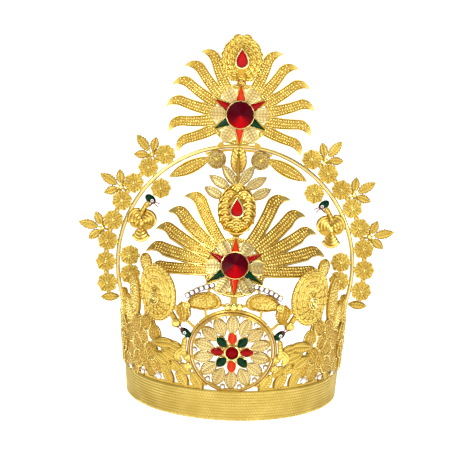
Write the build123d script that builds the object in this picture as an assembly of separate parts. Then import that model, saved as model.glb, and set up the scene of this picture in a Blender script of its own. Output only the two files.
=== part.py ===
from build123d import *
import math
import os

# A tall openwork crown: half a ring of band and wall, open at the back, that
# carries a leaning fan, an arch of wire and a second fan on top of the arch.
# It faces -Y and stands on its band at z = 0. The origin is the middle of the
# band's ring, at the foot. All sizes are in millimetres, all angles in degrees.

SEAT = 0.2                  # clearance between pieces fastened to each other

# Band
BAND_RADIUS = 60.0          # outside, at the foot
BAND_HEIGHT = 17.4
BAND_WALL = 1.5
RAIL_PROUD = 0.8            # bead along each edge of the band
RAIL_HEIGHT = 1.6
RAIL_SHOULDER = 0.6         # share of the bead that stands out at its edges
FLARE = 4.5                 # band and wall lean outwards

# Openwork wall above the band
WALL_THICK = 1.4
WALL_HEIGHT = 72.0          # from the band to the top of the highest disc
FOOT_STRIP = 1.3            # strip that the panels stand on
RELIEF = 1.2                # thickness of what is laid on the wall
PANEL_GAP = 0.6             # side clearance between neighbouring panels
LINK_WIRE = 1.5             # width of the strips that join ornaments

# Round medallion in the middle of the wall
MEDAL_RADIUS = 23.0
MEDAL_RIM = 1.3
MEDAL_HUB = 4.6
MEDAL_LEAVES = 14
MEDAL_LEAF_INNER = 10.6
MEDAL_LEAF_WIDTH = 7.0
MEDAL_WIRE_END = 147.0      # angle from the top where the wire beside it ends
MEDAL_TIE_TURN = 8.0        # from the wire's top to its tie
MEDAL_TIE_TO = (25.4, 0.57)  # place on the wall where the tie ends
MEDAL_SPOKE = 1.2
MEDAL_STONE = 7.0
PETAL_INNER = 4.9
PETAL_OUTER = 11.6
PETAL_WIDTH = 4.4
RHINESTONE = 2.4
RHINESTONE_HEIGHT = 1.5
RHINESTONE_PAD = 1.5
RHINESTONE_SIDES = 8
MEDAL_STONE_HEIGHT = 2.4
MEDAL_STONE_SIDES = 12

# Crest that bridges the medallion and the fan
CREST_OVAL = (8.6, 5.2)     # half sizes of each oval disc
CREST_OVAL_ANGLE = 14.4
CREST_OVAL_RISE = 5.6       # above the medallion's rim
CREST_BEAD = 3.6
CREST_BEAD_PITCH = 3.5
CREST_BEAD_RISE = 3.7       # of the beads' middles above the medallion
CREST_OVAL_TURN = -8.0
CREST_STRIP_SPAN = 50.0     # of the strip round the medallion, each way
CREST_FOOT = 38.0           # angle of the oval's tie to that strip
CREST_TIE = 18.0            # angle of the oval's tie to the stones' arc
CREST_RAIL_RADIUS = 40.5    # of the arcs that carry stones
CREST_RAIL_FROM = 16.0
CREST_RAIL_TO = 41.0
CREST_STONES = 6

# Big round stones and their cups
BIG_STONE = 14.0
STONE_HEIGHT = 4.6
STONE_TABLE = 0.42          # table's share of the stone
STONE_SIDES = 16
CUP_WALL = 0.8
CUP_HEIGHT = 2.4
STONE_FIT = 0.15            # between a stone and its cup
GIRDLE = 0.3                # share of a stone's height below its facets
SMALL_TABLE = 0.5
WALL_STONE_SIDES = 10
WALL_STONE_RISE = 0.55      # height as a share of its width

# Teardrop stones
DROP_LENGTH = 9.6
DROP_WIDTH = 6.0
DROP_HEIGHT = 2.6
DROP_TABLE = 0.55
DROP_CORNERS = 12
DROP_TAPER = 0.5            # narrowing at the tip

# Both fans: disc with lobes, rays of enamel, feathers and a leaf cone above
FAN_THICK = 1.4
DISC_RADIUS = 17.6
LOBE_COUNT = 6
LOBE_HALF = (4.3, 5.4)      # half width and half length
LOBE_CENTRE = 12.6
RAY_TIP = 17.2
RAY_WIDTH = 4.2
RAY_THICK = 0.9
FEATHER_ROOT_RADIUS = 16.0
FEATHER_ROOT_WIDTH = 6.6
FEATHER_SHOULDER = 0.83     # share of its reach where a feather starts to curl
FEATHER_WAIST = 0.80        # the same on the inside of the curl
FEATHER_SPREAD = 9.6       # degrees between shoulder and waist
FEATHER_BOWS = {            # bulge of each edge to the left, as a share of its length
    "inner": -0.03,
    "crest": 0.24,
    "curl": -0.12,
    "outer": 0.03,
}
STEM_WIDTH = 4.0
RAY_BELLY = 0.3             # share of its length where a ray is widest
RAY_ROOT = 0.6              # share of its width where it starts

# Lower fan, bent round and leaning from the crest back to the arch
LOW_FAN_REACH = 53.0
LOW_FAN_BEND = 72.0
LOW_FAN_LEAN = 33.0
LOW_STONE_RISE = 23.6       # of the stone above the fan's foot
LOW_FOOT_RISE = 3.0         # of the fan's foot above the medallion
CONE_HALF_WIDTH = 11.0
CONE_HALF_HEIGHT = 15.4
CONE_GAP = 1.0              # between the enamel ray and the leaf cone
CONE_THICK = 1.6
CONE_SCALLOP = 2.2          # radius of the petals along its edge
CONE_SCALLOPS = 14
CONE_SCALLOP_SHARE = 0.6    # part of a petal that stands out
CROWN_LEAF_WIDTH = 5.6
CROWN_LEAVES = [
    # root beside the axis, root below the cone's top, angle and length
    {"across": 7.2, "drop": 9.0, "angle": 57, "length": 13.9},
    {"across": 3.7, "drop": 3.5, "angle": 55, "length": 15.5},
    {"across": 0.0, "drop": 2.0, "angle": 34, "length": 16.7},
]
LOW_STEM_SHARE = 0.8        # stem behind the cone, as a share of its half height
STAY_DIAMETER = 2.2

# Arch of wire, in a plane that leans back a little. It stands on the wall at
# both ends and clears the leaf cone, and its radius follows from that.
ARCH_WIRE = 2.6
ARCH_SEAT_AT = 73.4         # angle of its ends round the wall
ARCH_SEAT_UP = 0.567        # height of its ends on the wall
ARCH_ABOVE_CONE = 18.9      # of its top above the top of the leaf cone
HALO_LEAN = 8.0

# Rosettes on the arch, measured along the arc from the arch's end
ROSETTE = 10.5
ROSETTE_PETAL = 3.15        # width of a petal
ROSETTE_PETALS = 8
ROSETTE_THICK = 1.6
ROSETTE_FROM_END = 10.9     # of the lowest rosette
ROSETTE_STEP = 12.14        # from one rosette to the next
ROSETTE_COUNT = 8
ROSETTE_BOSS = 3.4
ROSETTE_BOSS_RISE = 0.7
KNOT = 3.0

INNER_ROSETTES = {"upper": [65.7], "lower": [22.6, 11.9]}

# Leaf sprays on the arch, and the rosette before each, counted from 0 at the top
SPRAYS = {"upper": 0, "middle": 2, "lower": 4}
SPRAY_HUB = 4.4
SPRAY_LEAF = 14.5
SPRAY_SIDE_LEAF = 10.5
SPRAY_SIDE_TURN = 52.0
SPRAY_LEAF_WIDTH = 6.2
SPRAY_THICK = 1.2
SPRAY_SIDE_SHARE = 0.9      # width of the side leaves
LEAF_BELLY = 0.55           # share of its length where a leaf is widest
END_LEAF = 11.0
END_LEAF_WIDTH = 5.0
END_LEAF_TURN = 94.0
END_LEAF_UP = 1.2           # of its root from the arch's end

# Birds
BIRD_THICK = 1.8
BIRD_LOBE = 5.2
BIRD_NECK = 3.2
LOW_BIRD_ARM_WIDTH = 3.8
LOW_BIRD_ARM_TURN = 2.0     # from the neck's end to the arm's
LOW_BIRD_NECK_OUT = 2.65    # of the neck's middle outside the wire's
LOW_BIRD_HEAD_OUT = 0.7     # of the head's middle outside the neck's
LOW_BIRD_BEAK_TURN = 168.0
LOW_BIRD_CREST_TURN = 54.0
BIRD_HEAD = 5.4
BIRD_BEAK_WIDTH = 1.8
BIRD_CREST_WIDTH = 2.25
HIGH_BIRD_NECK_IN = 6.4     # of the neck's middle inside the arch
HIGH_BIRD_FROM_END = 41.3   # of the body's middle, along the neck's arc
HIGH_BIRD_NECK_LONG = 13.75
HIGH_BIRD_HEAD_UP = 16.1    # from the body's middle to the head's
HIGH_BIRD_LOBE_SHARE = 0.78
HIGH_BIRD_IN = 1.55         # of the body's middle inside the arch, in lobes

# Ornament under the arch
HANG_DISC = 10.2
HANG_DISC_ANGLE = 12.0
HANG_LEAF = 15.0
HANG_LEAF_WIDTH = 9.6
HANG_FEATHER_FROM = 15.0
HANG_FEATHER_TO = 39.5
HANG_FEATHER_IN = 3.2       # of the feathers' ends inside the arch
HANG_FEATHER_BOWS = (0.13, 0.07)
HANG_STRIP_PAST = 2.0       # of the strip beyond the feathers' roots
HANG_THICK = 1.3
STAY_SHARE = 0.35           # of the hanging leaf above the stay's end

# Upper fan
TOP_FAN_REACH = 42.0
TOP_STONE_RISE = 17.9       # of the stone above the arch's top
LEAF_HALF_WIDTH = 12.2
LEAF_HALF_HEIGHT = 13.7
LEAF_SCALLOP = 2.0          # radius of the petals along its edge
LEAF_SCALLOPS = 13
LEAF_SCALLOP_SPAN = 300.0   # angle that they cover
LEAF_LOWERED = 0.8          # of its round part below its middle
LEAF_TOP_RADIUS = 3.0
LEAF_TOP_SPREAD = 2.6
LEAF_FOOT = (9.0, 7.0)      # length and width of the drop at its foot
FOOT_BALL = 3.6
FOOT_SPREAD = 10.4

# Rays of enamel: angle from the top and colour
RAYS = [
    {"angle": 0, "colour": "orange"},
    {"angle": 60, "colour": "red"},
    {"angle": 120, "colour": "green"},
    {"angle": 180, "colour": "orange"},
    {"angle": 240, "colour": "green"},
    {"angle": 300, "colour": "red"},
]

# Petals of the medallion: angle from the top and colour
PETALS = [
    {"angle": 0, "colour": "orange"},
    {"angle": 45, "colour": "green"},
    {"angle": 90, "colour": "red"},
    {"angle": 135, "colour": "green"},
    {"angle": 180, "colour": "orange"},
    {"angle": 225, "colour": "green"},
    {"angle": 270, "colour": "red"},
    {"angle": 315, "colour": "green"},
]

# Feathers of one side of each fan, as angles from the top: of the root, of the
# shoulder where the feather starts to curl and of its tip. The last column is
# the share of the fan's reach.
LOW_FEATHERS = [
    {"root": 30.5, "shoulder": 22.4, "tip": 34.5, "reach": 1.0},
    {"root": 47.5, "shoulder": 38.2, "tip": 47.4, "reach": 1.0},
    {"root": 64.0, "shoulder": 52.3, "tip": 59.2, "reach": 1.0},
    {"root": 79.0, "shoulder": 66.2, "tip": 73.2, "reach": 1.0},
    {"root": 95.5, "shoulder": 81.4, "tip": 85.4, "reach": 0.91},
]
TOP_FEATHERS = [
    {"root": 29.0, "shoulder": 20.6, "tip": 34.0, "reach": 1.0},
    {"root": 47.0, "shoulder": 37.4, "tip": 50.7, "reach": 1.0},
    {"root": 65.0, "shoulder": 55.0, "tip": 68.0, "reach": 1.0},
    {"root": 83.0, "shoulder": 73.4, "tip": 85.8, "reach": 1.0},
    {"root": 102.0, "shoulder": 92.4, "tip": 105.8, "reach": 0.99},
    {"root": 120.0, "shoulder": 110.6, "tip": 123.2, "reach": 0.98},
]

# Oval discs of the right-hand panels, which the left-hand ones mirror. Places
# and half widths round the wall are angles. Heights above the band and half
# heights are shares of the wall's height.
FRONT_CENTRE = 37.0
FRONT_DISCS = [
    {"at": 41.5, "up": 0.728, "wide": 11.6, "tall": 0.225, "turn": 0},
    {"at": 48.5, "up": 0.950, "wide": 3.8, "tall": 0.072, "turn": 0},
    {"at": 25.4, "up": 0.614, "wide": 3.4, "tall": 0.072, "turn": 0},
    {"at": 43.5, "up": 0.381, "wide": 3.8, "tall": 0.075, "turn": -12},
    {"at": 49.6, "up": 0.458, "wide": 3.2, "tall": 0.070, "turn": 20},
    {"at": 46.8, "up": 0.236, "wide": 4.8, "tall": 0.064, "turn": 0},
    {"at": 48.0, "up": 0.097, "wide": 4.3, "tall": 0.075, "turn": 0},
    {"at": 35.2, "up": 0.069, "wide": 2.7, "tall": 0.075, "turn": -32},
    {"at": 26.6, "up": 0.069, "wide": 2.7, "tall": 0.075, "turn": -32},
    {"at": 18.4, "up": 0.064, "wide": 2.7, "tall": 0.072, "turn": -32},
    {"at": 29.5, "up": 0.511, "wide": 2.2, "tall": 0.034, "turn": 0},
    {"at": 23.4, "up": 0.250, "wide": 2.3, "tall": 0.035, "turn": 0},
    {"at": 22.2, "up": 0.176, "wide": 1.9, "tall": 0.029, "turn": 0},
]
SIDE_CENTRE = 71.0
SIDE_DISCS = [
    {"at": 59.5, "up": 0.664, "wide": 4.1, "tall": 0.178, "turn": 0},
    {"at": 67.0, "up": 0.500, "wide": 4.5, "tall": 0.122, "turn": 0},
    {"at": 74.6, "up": 0.528, "wide": 4.2, "tall": 0.116, "turn": 0},
    {"at": 58.6, "up": 0.419, "wide": 3.9, "tall": 0.094, "turn": 0},
    {"at": 58.4, "up": 0.275, "wide": 4.3, "tall": 0.074, "turn": 0},
    {"at": 65.6, "up": 0.317, "wide": 4.5, "tall": 0.077, "turn": 0},
    {"at": 73.6, "up": 0.347, "wide": 4.4, "tall": 0.082, "turn": 0},
    {"at": 82.0, "up": 0.364, "wide": 4.3, "tall": 0.088, "turn": 0},
    {"at": 58.0, "up": 0.133, "wide": 4.2, "tall": 0.077, "turn": 0},
    {"at": 66.6, "up": 0.175, "wide": 4.5, "tall": 0.077, "turn": 0},
    {"at": 75.0, "up": 0.200, "wide": 4.5, "tall": 0.077, "turn": 0},
    {"at": 83.4, "up": 0.206, "wide": 4.4, "tall": 0.083, "turn": 0},
    {"at": 62.4, "up": 0.042, "wide": 4.2, "tall": 0.052, "turn": 0},
    {"at": 71.0, "up": 0.064, "wide": 4.4, "tall": 0.063, "turn": 0},
    {"at": 79.4, "up": 0.075, "wide": 4.4, "tall": 0.066, "turn": 0},
    {"at": 86.2, "up": 0.056, "wide": 2.9, "tall": 0.057, "turn": 0},
]

# Strips that join the discs of the front panel, from one place to another
FRONT_LINKS = [
    {"from": (25.4, 0.614), "to": (33.0, 0.644)},
    {"from": (29.5, 0.511), "to": (33.0, 0.589)},
    {"from": (25.4, 0.560), "to": (29.5, 0.511)},
    {"from": (46.0, 0.519), "to": (43.5, 0.381)},
    {"from": (43.5, 0.381), "to": (49.6, 0.458)},
    {"from": (49.6, 0.458), "to": (50.0, 0.589)},
    {"from": (43.5, 0.339), "to": (46.8, 0.236)},
    {"from": (46.8, 0.236), "to": (48.0, 0.097)},
    {"from": (23.4, 0.250), "to": (22.2, 0.176)},
    {"from": (22.2, 0.176), "to": (26.6, 0.069)},
]
PANEL_FOOT = {"front": (15.0, 53.0), "side": (54.5, 89.0)}

# Round white stones near the foot of the wall, right-hand side
WALL_STONES = [
    {"at": 41.6, "up": 0.045, "across": 4.0},
    {"at": 54.6, "up": 0.040, "across": 3.0},
    {"at": 69.0, "up": 0.032, "across": 2.6},
]

# Lobes of the birds' bodies, as shares of the lobe's size: across the arch or
# the wall, and up
HIGH_BIRD_LOBES = [
    {"across": -0.62, "up": 0.35},
    {"across": 0.62, "up": 0.5},
    {"across": 0.05, "up": -0.95},
]
LOW_BIRD_TAIL = [
    {"at": 37.6, "up": 0.333, "wide": 6.0, "tall": 0.044, "turn": -8},
    {"at": 30.6, "up": 0.325, "wide": 4.0, "tall": 0.042, "turn": 12},
    {"at": 33.6, "up": 0.252, "wide": 5.1, "tall": 0.044, "turn": 22},
    {"at": 38.4, "up": 0.206, "wide": 4.9, "tall": 0.044, "turn": 34},
]
LOW_BIRD_ARM = (30.6, 0.325)  # where the neck meets the body
LOW_BIRD_NECK = (78.6, 97.0)  # span of the neck round the medallion
LOW_BIRD_HEAD_AT = 70.6

BOSS_OVERLAP = 0.4          # how far a raised detail is rooted in its plate


def polar(radius, angle):
    """Point at an angle from the upward axis, turning towards +X."""
    return (radius * math.sin(math.radians(angle)), radius * math.cos(math.radians(angle)))


def disc(radius, at=(0, 0)):
    return Pos(*at) * Circle(radius)


def oval(half, at=(0, 0), turn=0):
    return Pos(*at) * Rot(0, 0, turn) * Ellipse(*half)


def leaf(length, width, at=(0, 0), angle=0, belly=0.5):
    """Pointed leaf from its root at a point, growing at an angle from the upward axis."""
    side = width / 2
    right = ThreePointArc((0, 0), (side, length * belly), (0, length))
    left = ThreePointArc((0, length), (-side, length * belly), (0, 0))
    return Pos(*at) * Rot(0, 0, -angle) * make_face(right + left)


def drop(length, width, at=(0, 0), angle=0):
    """Teardrop with its round end at a point and its tip at an angle from the upward axis."""
    radius = width / 2
    reach = length - radius
    tangent = math.degrees(math.acos(radius / reach))
    shoulder = polar(radius, tangent)
    round_end = ThreePointArc(shoulder, (0, -radius), (-shoulder[0], shoulder[1]))
    sides = Polyline((-shoulder[0], shoulder[1]), (0, reach), shoulder)
    return Pos(*at) * Rot(0, 0, -angle) * make_face(round_end + sides)


def bar(start, end, width):
    """Straight strip with round ends between two points."""
    length = math.dist(start, end)
    middle = ((start[0] + end[0]) / 2, (start[1] + end[1]) / 2)
    turn = math.degrees(math.atan2(end[1] - start[1], end[0] - start[0]))
    return Pos(*middle) * Rot(0, 0, turn) * SlotCenterToCenter(length, width)


def arc_strip(radius, width, start, end, centre=(0, 0)):
    """Strip of an arc between two angles from the upward axis."""
    inner = radius - width / 2
    outer = radius + width / 2
    middle = (start + end) / 2
    edges = ThreePointArc(polar(inner, start), polar(inner, middle), polar(inner, end))
    edges += Line(polar(inner, end), polar(outer, end))
    edges += ThreePointArc(polar(outer, end), polar(outer, middle), polar(outer, start))
    edges += Line(polar(outer, start), polar(inner, start))
    return Pos(*centre) * make_face(edges)


def feather(row, reach):
    """Feather that curls over to a pointed tip, away from the fan's middle."""
    spread = math.degrees(math.asin(FEATHER_ROOT_WIDTH / 2 / FEATHER_ROOT_RADIUS))
    length = reach * row["reach"]
    root_inner = polar(FEATHER_ROOT_RADIUS, row["root"] - spread)
    root_outer = polar(FEATHER_ROOT_RADIUS, row["root"] + spread)
    shoulder = polar(FEATHER_SHOULDER * length, row["shoulder"])
    waist = polar(FEATHER_WAIST * length, row["shoulder"] + FEATHER_SPREAD)
    tip = polar(length, row["tip"])
    outline = bowed(root_inner, shoulder, FEATHER_BOWS["inner"])
    outline += bowed(shoulder, tip, FEATHER_BOWS["crest"])
    outline += bowed(tip, waist, FEATHER_BOWS["curl"])
    outline += bowed(waist, root_outer, FEATHER_BOWS["outer"])
    outline += Line(root_outer, root_inner)
    return make_face(outline)


def bowed(start, end, bow):
    """Arc between two points that bows to the left by a share of its length."""
    along = (end[0] - start[0], end[1] - start[1])
    middle = ((start[0] + end[0]) / 2 - bow * along[1], (start[1] + end[1]) / 2 + bow * along[0])
    return ThreePointArc(start, middle, end)


def both_sides(shapes):
    """Shapes of the right-hand side with their mirror images."""
    return shapes + [mirror(shape, about=Plane.YZ) for shape in shapes]


def united(shapes):
    return Sketch() + shapes


def polygon_stone(points, height, table):
    """Cut stone: straight girdle, sloping facets and a flat table."""
    girdle = height * GIRDLE
    base = make_face(Polyline(*points, close=True))
    top = [(x * table, y * table) for x, y in points]
    table_face = make_face(Polyline(*top, close=True))
    crown = loft([Pos(0, 0, girdle) * base, Pos(0, 0, height) * table_face])
    return extrude(base, girdle) + crown


def round_stone(across, height, sides=STONE_SIDES, table=STONE_TABLE):
    corners = [polar(across / 2, 360 * (i + 0.5) / sides) for i in range(sides)]
    return polygon_stone(corners, height, table)


def drop_stone():
    """Teardrop stone, its corners on an oval that narrows to a point."""
    corners = []
    for i in range(DROP_CORNERS):
        x, y = polar(1, 360 * i / DROP_CORNERS)
        narrow = 1 - DROP_TAPER * max(y, 0) ** 2
        corners.append((DROP_WIDTH / 2 * x * narrow, DROP_LENGTH / 2 * y))
    return polygon_stone(corners, DROP_HEIGHT, DROP_TABLE)


def stone_cup():
    """Ring wall that holds a big stone, rooted in the plate below it."""
    inner = BIG_STONE / 2 + STONE_FIT
    wall = Circle(inner + CUP_WALL) - Circle(inner)
    return Pos(0, 0, -BOSS_OVERLAP) * extrude(wall, CUP_HEIGHT + BOSS_OVERLAP)


# Placing things on the wall

def wall_radius(z, offset=0.0):
    """Radius of the wall's outer face at a height."""
    return BAND_RADIUS + math.tan(math.radians(FLARE)) * z + offset


def half_turn(points):
    """Half ring, open to the back, from a section drawn as radius and height."""
    section = Plane.XZ * make_face(Polyline(*points, close=True))
    return Rot(0, 0, 180) * revolve(section, Axis.Z, 180)


def wall_shell(low, high, base, thickness):
    return half_turn([
        (wall_radius(low, base), low),
        (wall_radius(low, base + thickness), low),
        (wall_radius(high, base + thickness), high),
        (wall_radius(high, base), high),
    ])


def wall_plane(angle):
    """Flat plane that faces out of the wall, x round the wall and y up."""
    outward = (math.sin(math.radians(angle)), -math.cos(math.radians(angle)), 0)
    across = (math.cos(math.radians(angle)), math.sin(math.radians(angle)), 0)
    start = wall_radius(0) / 2
    return Plane(origin=tuple(start * part for part in outward), x_dir=across, z_dir=outward)


def on_wall(outline, angle, base, thickness):
    """Outline bent onto the wall round an angle, between two depths."""
    prism = extrude(wall_plane(angle) * outline, wall_radius(0))
    foot = BAND_HEIGHT + SEAT
    return prism & wall_shell(foot, foot + 1.2 * WALL_HEIGHT, base, thickness)


def wall_level(up):
    """Height of a place given as a share of the wall's height."""
    return BAND_HEIGHT + SEAT + up * WALL_HEIGHT


def wall_point(at, up, centre):
    """Flat coordinates of a place on the wall, on the plane of a panel."""
    z = wall_level(up)
    return (wall_radius(z) * math.sin(math.radians(at - centre)), z)


def wall_seat(at, z, offset):
    """Place on the wall whose own z axis faces straight out."""
    radius = wall_radius(z, offset)
    outward = polar(radius, at)
    normal = (
        math.sin(math.radians(at)) * math.cos(math.radians(FLARE)),
        -math.cos(math.radians(at)) * math.cos(math.radians(FLARE)),
        -math.sin(math.radians(FLARE)),
    )
    across = (math.cos(math.radians(at)), math.sin(math.radians(at)), 0)
    return Location(Plane(origin=(outward[0], -outward[1], z), x_dir=across, z_dir=normal))


MEDAL_Z = BAND_HEIGHT + SEAT + MEDAL_RADIUS


def medal_point(radius, angle):
    """Place at a polar position round the medallion's middle, on the flat plane."""
    x, y = polar(radius, angle)
    return (x, y + MEDAL_Z)


def medal_seat(radius, angle, offset):
    """Seat on the wall at a polar position round the medallion's middle."""
    x, z = medal_point(radius, angle)
    at = math.degrees(math.asin(x / wall_radius(z)))
    return wall_seat(at, z, offset)


# Placing things on the leaning fan and on the arch's plane

def low_fan_frame():
    """Frame of the lower fan at its stone's middle. Its foot stands behind the crest."""
    z = MEDAL_Z + MEDAL_RADIUS + LOW_FOOT_RISE
    y = -wall_radius(z, -WALL_THICK - SEAT)
    lean = math.radians(LOW_FAN_LEAN)
    facing = (0, -math.cos(lean), math.sin(lean))
    foot = Plane(origin=(0, y, z), x_dir=(1, 0, 0), z_dir=facing)
    return Location(foot) * Pos(0, LOW_STONE_RISE, 0)


def on_low_fan(outline, base, thickness):
    """Outline bent round the fan's curve, in the fan's own frame."""
    prism = Pos(0, 0, -LOW_FAN_BEND / 2) * extrude(outline, LOW_FAN_BEND)
    height = 4 * LOW_FAN_REACH
    outer = Cylinder(LOW_FAN_BEND + base + thickness, height)
    inner = Cylinder(LOW_FAN_BEND + base, height)
    return prism & (Pos(0, 0, -LOW_FAN_BEND) * Rot(90, 0, 0) * (outer - inner))


def cone_centre():
    """Middle of the leaf cone above the stone of the lower fan."""
    return RAY_TIP + CONE_GAP + CONE_HALF_HEIGHT


ARCH_LEAN = math.radians(HALO_LEAN)
ARCH_FOOT_Z = wall_level(ARCH_SEAT_UP)
ARCH_FOOT_RADIUS = wall_radius(ARCH_FOOT_Z) + ARCH_WIRE / 2 + SEAT
ARCH_HALF_SPAN = ARCH_FOOT_RADIUS * math.sin(math.radians(ARCH_SEAT_AT))
ARCH_TOP_Z = (low_fan_frame() * Pos(0, cone_centre() + CONE_HALF_HEIGHT, 0)).position.Z + ARCH_ABOVE_CONE
ARCH_RISE = (ARCH_TOP_Z - ARCH_FOOT_Z) / math.cos(ARCH_LEAN)
ARCH_RADIUS = (ARCH_HALF_SPAN ** 2 + ARCH_RISE ** 2) / (2 * ARCH_RISE)
ARCH_END = math.degrees(math.asin((ARCH_RISE - ARCH_RADIUS) / ARCH_RADIUS))


def arch_angle(radius, from_end):
    """Angle from the arch's top at a distance along an arc from the arch's end."""
    return 90 + ARCH_END - math.degrees(from_end / radius)


def halo_frame():
    """Plane of the arch, with its origin at the arch's centre."""
    above = ARCH_RISE - ARCH_RADIUS
    y = -ARCH_FOOT_RADIUS * math.cos(math.radians(ARCH_SEAT_AT)) + above * math.sin(ARCH_LEAN)
    z = ARCH_FOOT_Z + above * math.cos(ARCH_LEAN)
    facing = (0, -math.cos(ARCH_LEAN), math.sin(ARCH_LEAN))
    return Location(Plane(origin=(0, y, z), x_dir=(1, 0, 0), z_dir=facing))


def on_halo(outline, base, thickness):
    """Flat plate in the arch's own frame, between two depths."""
    return Pos(0, 0, base) * extrude(outline, thickness)


# Band and wall

def make_band():
    """Half ring with a bead along its foot and its top."""
    rise = math.tan(math.radians(FLARE))

    def rail(low):
        high = low + RAIL_HEIGHT
        return [
            (wall_radius(low), low),
            (wall_radius(low, RAIL_PROUD * RAIL_SHOULDER), low),
            (wall_radius(low, RAIL_PROUD) + rise * RAIL_HEIGHT / 2, low + RAIL_HEIGHT / 2),
            (wall_radius(high, RAIL_PROUD * RAIL_SHOULDER), high),
            (wall_radius(high), high),
        ]

    inside = [(wall_radius(BAND_HEIGHT, -BAND_WALL), BAND_HEIGHT), (wall_radius(0, -BAND_WALL), 0)]
    return half_turn(rail(0) + rail(BAND_HEIGHT - RAIL_HEIGHT) + inside)


def medal_outline():
    """Rim, hub, spokes and a ring of leaves."""
    rim = disc(MEDAL_RADIUS) - disc(MEDAL_RADIUS - MEDAL_RIM)
    leaf_length = MEDAL_RADIUS - MEDAL_RIM / 2 - MEDAL_LEAF_INNER
    shapes = [disc(MEDAL_HUB)]
    for i in range(MEDAL_LEAVES):
        angle = 360 * i / MEDAL_LEAVES
        root = polar(MEDAL_LEAF_INNER, angle)
        shapes.append(leaf(leaf_length, MEDAL_LEAF_WIDTH, root, angle, LEAF_BELLY))
        between = angle + 180 / MEDAL_LEAVES
        shapes.append(disc(RHINESTONE_PAD, polar(rhinestone_radius(), between)))
    for row in PETALS:
        length = PETAL_OUTER - MEDAL_HUB + MEDAL_SPOKE
        root = polar(MEDAL_HUB - MEDAL_SPOKE, row["angle"])
        shapes.append(leaf(length + MEDAL_SPOKE, PETAL_WIDTH + MEDAL_SPOKE, root, row["angle"]))
    return rim + shapes


def rhinestone_radius():
    """Radius of the ring of white stones between the leaves' tips."""
    return MEDAL_RADIUS - MEDAL_RIM - RHINESTONE_PAD / 2


def make_medallion():
    plate = on_wall(Pos(0, MEDAL_Z) * medal_outline(), 0, -WALL_THICK, WALL_THICK)
    inner = MEDAL_STONE / 2 + STONE_FIT
    cup = Circle(inner + CUP_WALL) - Circle(inner)
    seat = wall_seat(0, MEDAL_Z, 0)
    return plate + seat * Pos(0, 0, -BOSS_OVERLAP) * extrude(cup, RELIEF + BOSS_OVERLAP)


def make_petals(colour):
    """All enamel petals of one colour, laid on the medallion."""
    petals = []
    for row in PETALS:
        if row["colour"] == colour:
            length = PETAL_OUTER - PETAL_INNER
            shape = leaf(length, PETAL_WIDTH, polar(PETAL_INNER, row["angle"]), row["angle"])
            petals.append(on_wall(Pos(0, MEDAL_Z) * shape, 0, SEAT, RELIEF))
    return petals


def make_medal_stone():
    stone = round_stone(MEDAL_STONE, MEDAL_STONE_HEIGHT, MEDAL_STONE_SIDES)
    return wall_seat(0, MEDAL_Z, SEAT) * stone


def small_stone():
    return round_stone(RHINESTONE, RHINESTONE_HEIGHT, RHINESTONE_SIDES, SMALL_TABLE)


def make_medal_rhinestones():
    stones = []
    for i in range(MEDAL_LEAVES):
        between = 360 * (i + 0.5) / MEDAL_LEAVES
        stones.append(medal_seat(rhinestone_radius(), between, SEAT) * small_stone())
    return stones


def medal_wire_radius():
    """Radius of the strips that run round the medallion."""
    return MEDAL_RADIUS + PANEL_GAP + LINK_WIRE / 2


def make_crest():
    """Beads, oval discs and stone rails that join the medallion to the fan."""
    radius = medal_wire_radius()
    shapes = [arc_strip(radius, LINK_WIRE, -CREST_STRIP_SPAN, CREST_STRIP_SPAN, (0, MEDAL_Z))]
    bead_z = MEDAL_Z + MEDAL_RADIUS + CREST_BEAD_RISE
    for i in (-1, 0, 1):
        shapes.append(disc(CREST_BEAD / 2, (i * CREST_BEAD_PITCH, bead_z)))
    oval_z = MEDAL_Z + MEDAL_RADIUS + CREST_OVAL_RISE
    middle = (wall_radius(oval_z) * math.sin(math.radians(CREST_OVAL_ANGLE)), oval_z)
    side = [
        oval(CREST_OVAL, middle, CREST_OVAL_TURN),
        bar((CREST_BEAD_PITCH, bead_z), middle, LINK_WIRE),
        bar(middle, medal_point(radius, CREST_FOOT), LINK_WIRE),
        arc_strip(CREST_RAIL_RADIUS, LINK_WIRE, CREST_RAIL_FROM, CREST_RAIL_TO, (0, MEDAL_Z)),
        bar(middle, medal_point(CREST_RAIL_RADIUS, CREST_TIE), LINK_WIRE),
    ]
    return on_wall(united(shapes + both_sides(side)), 0, -WALL_THICK, WALL_THICK)


def make_crest_stones(side):
    """White stones along one of the crest's rails."""
    stones = []
    step = (CREST_RAIL_TO - CREST_RAIL_FROM) / CREST_STONES
    for i in range(CREST_STONES):
        angle = CREST_RAIL_FROM + step * (i + 0.5)
        stones.append(medal_seat(CREST_RAIL_RADIUS, side * angle, SEAT) * small_stone())
    return stones


def disc_shape(row, centre, grow=0.0):
    """Oval disc of a panel, drawn flat on the panel's plane."""
    place = wall_point(row["at"], row["up"], centre)
    wide = wall_radius(place[1]) * math.sin(math.radians(row["wide"]))
    return oval((wide + grow, row["tall"] * WALL_HEIGHT + grow), place, row["turn"])


def foot_strip(name, centre):
    """Strip along the foot of a panel, between two angles of the wall."""
    start, end = PANEL_FOOT[name]
    left, low = wall_point(start, 0, centre)
    right = wall_point(end, 0, centre)[0]
    return Pos((left + right) / 2, low + FOOT_STRIP / 2) * Rectangle(right - left, FOOT_STRIP)


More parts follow.
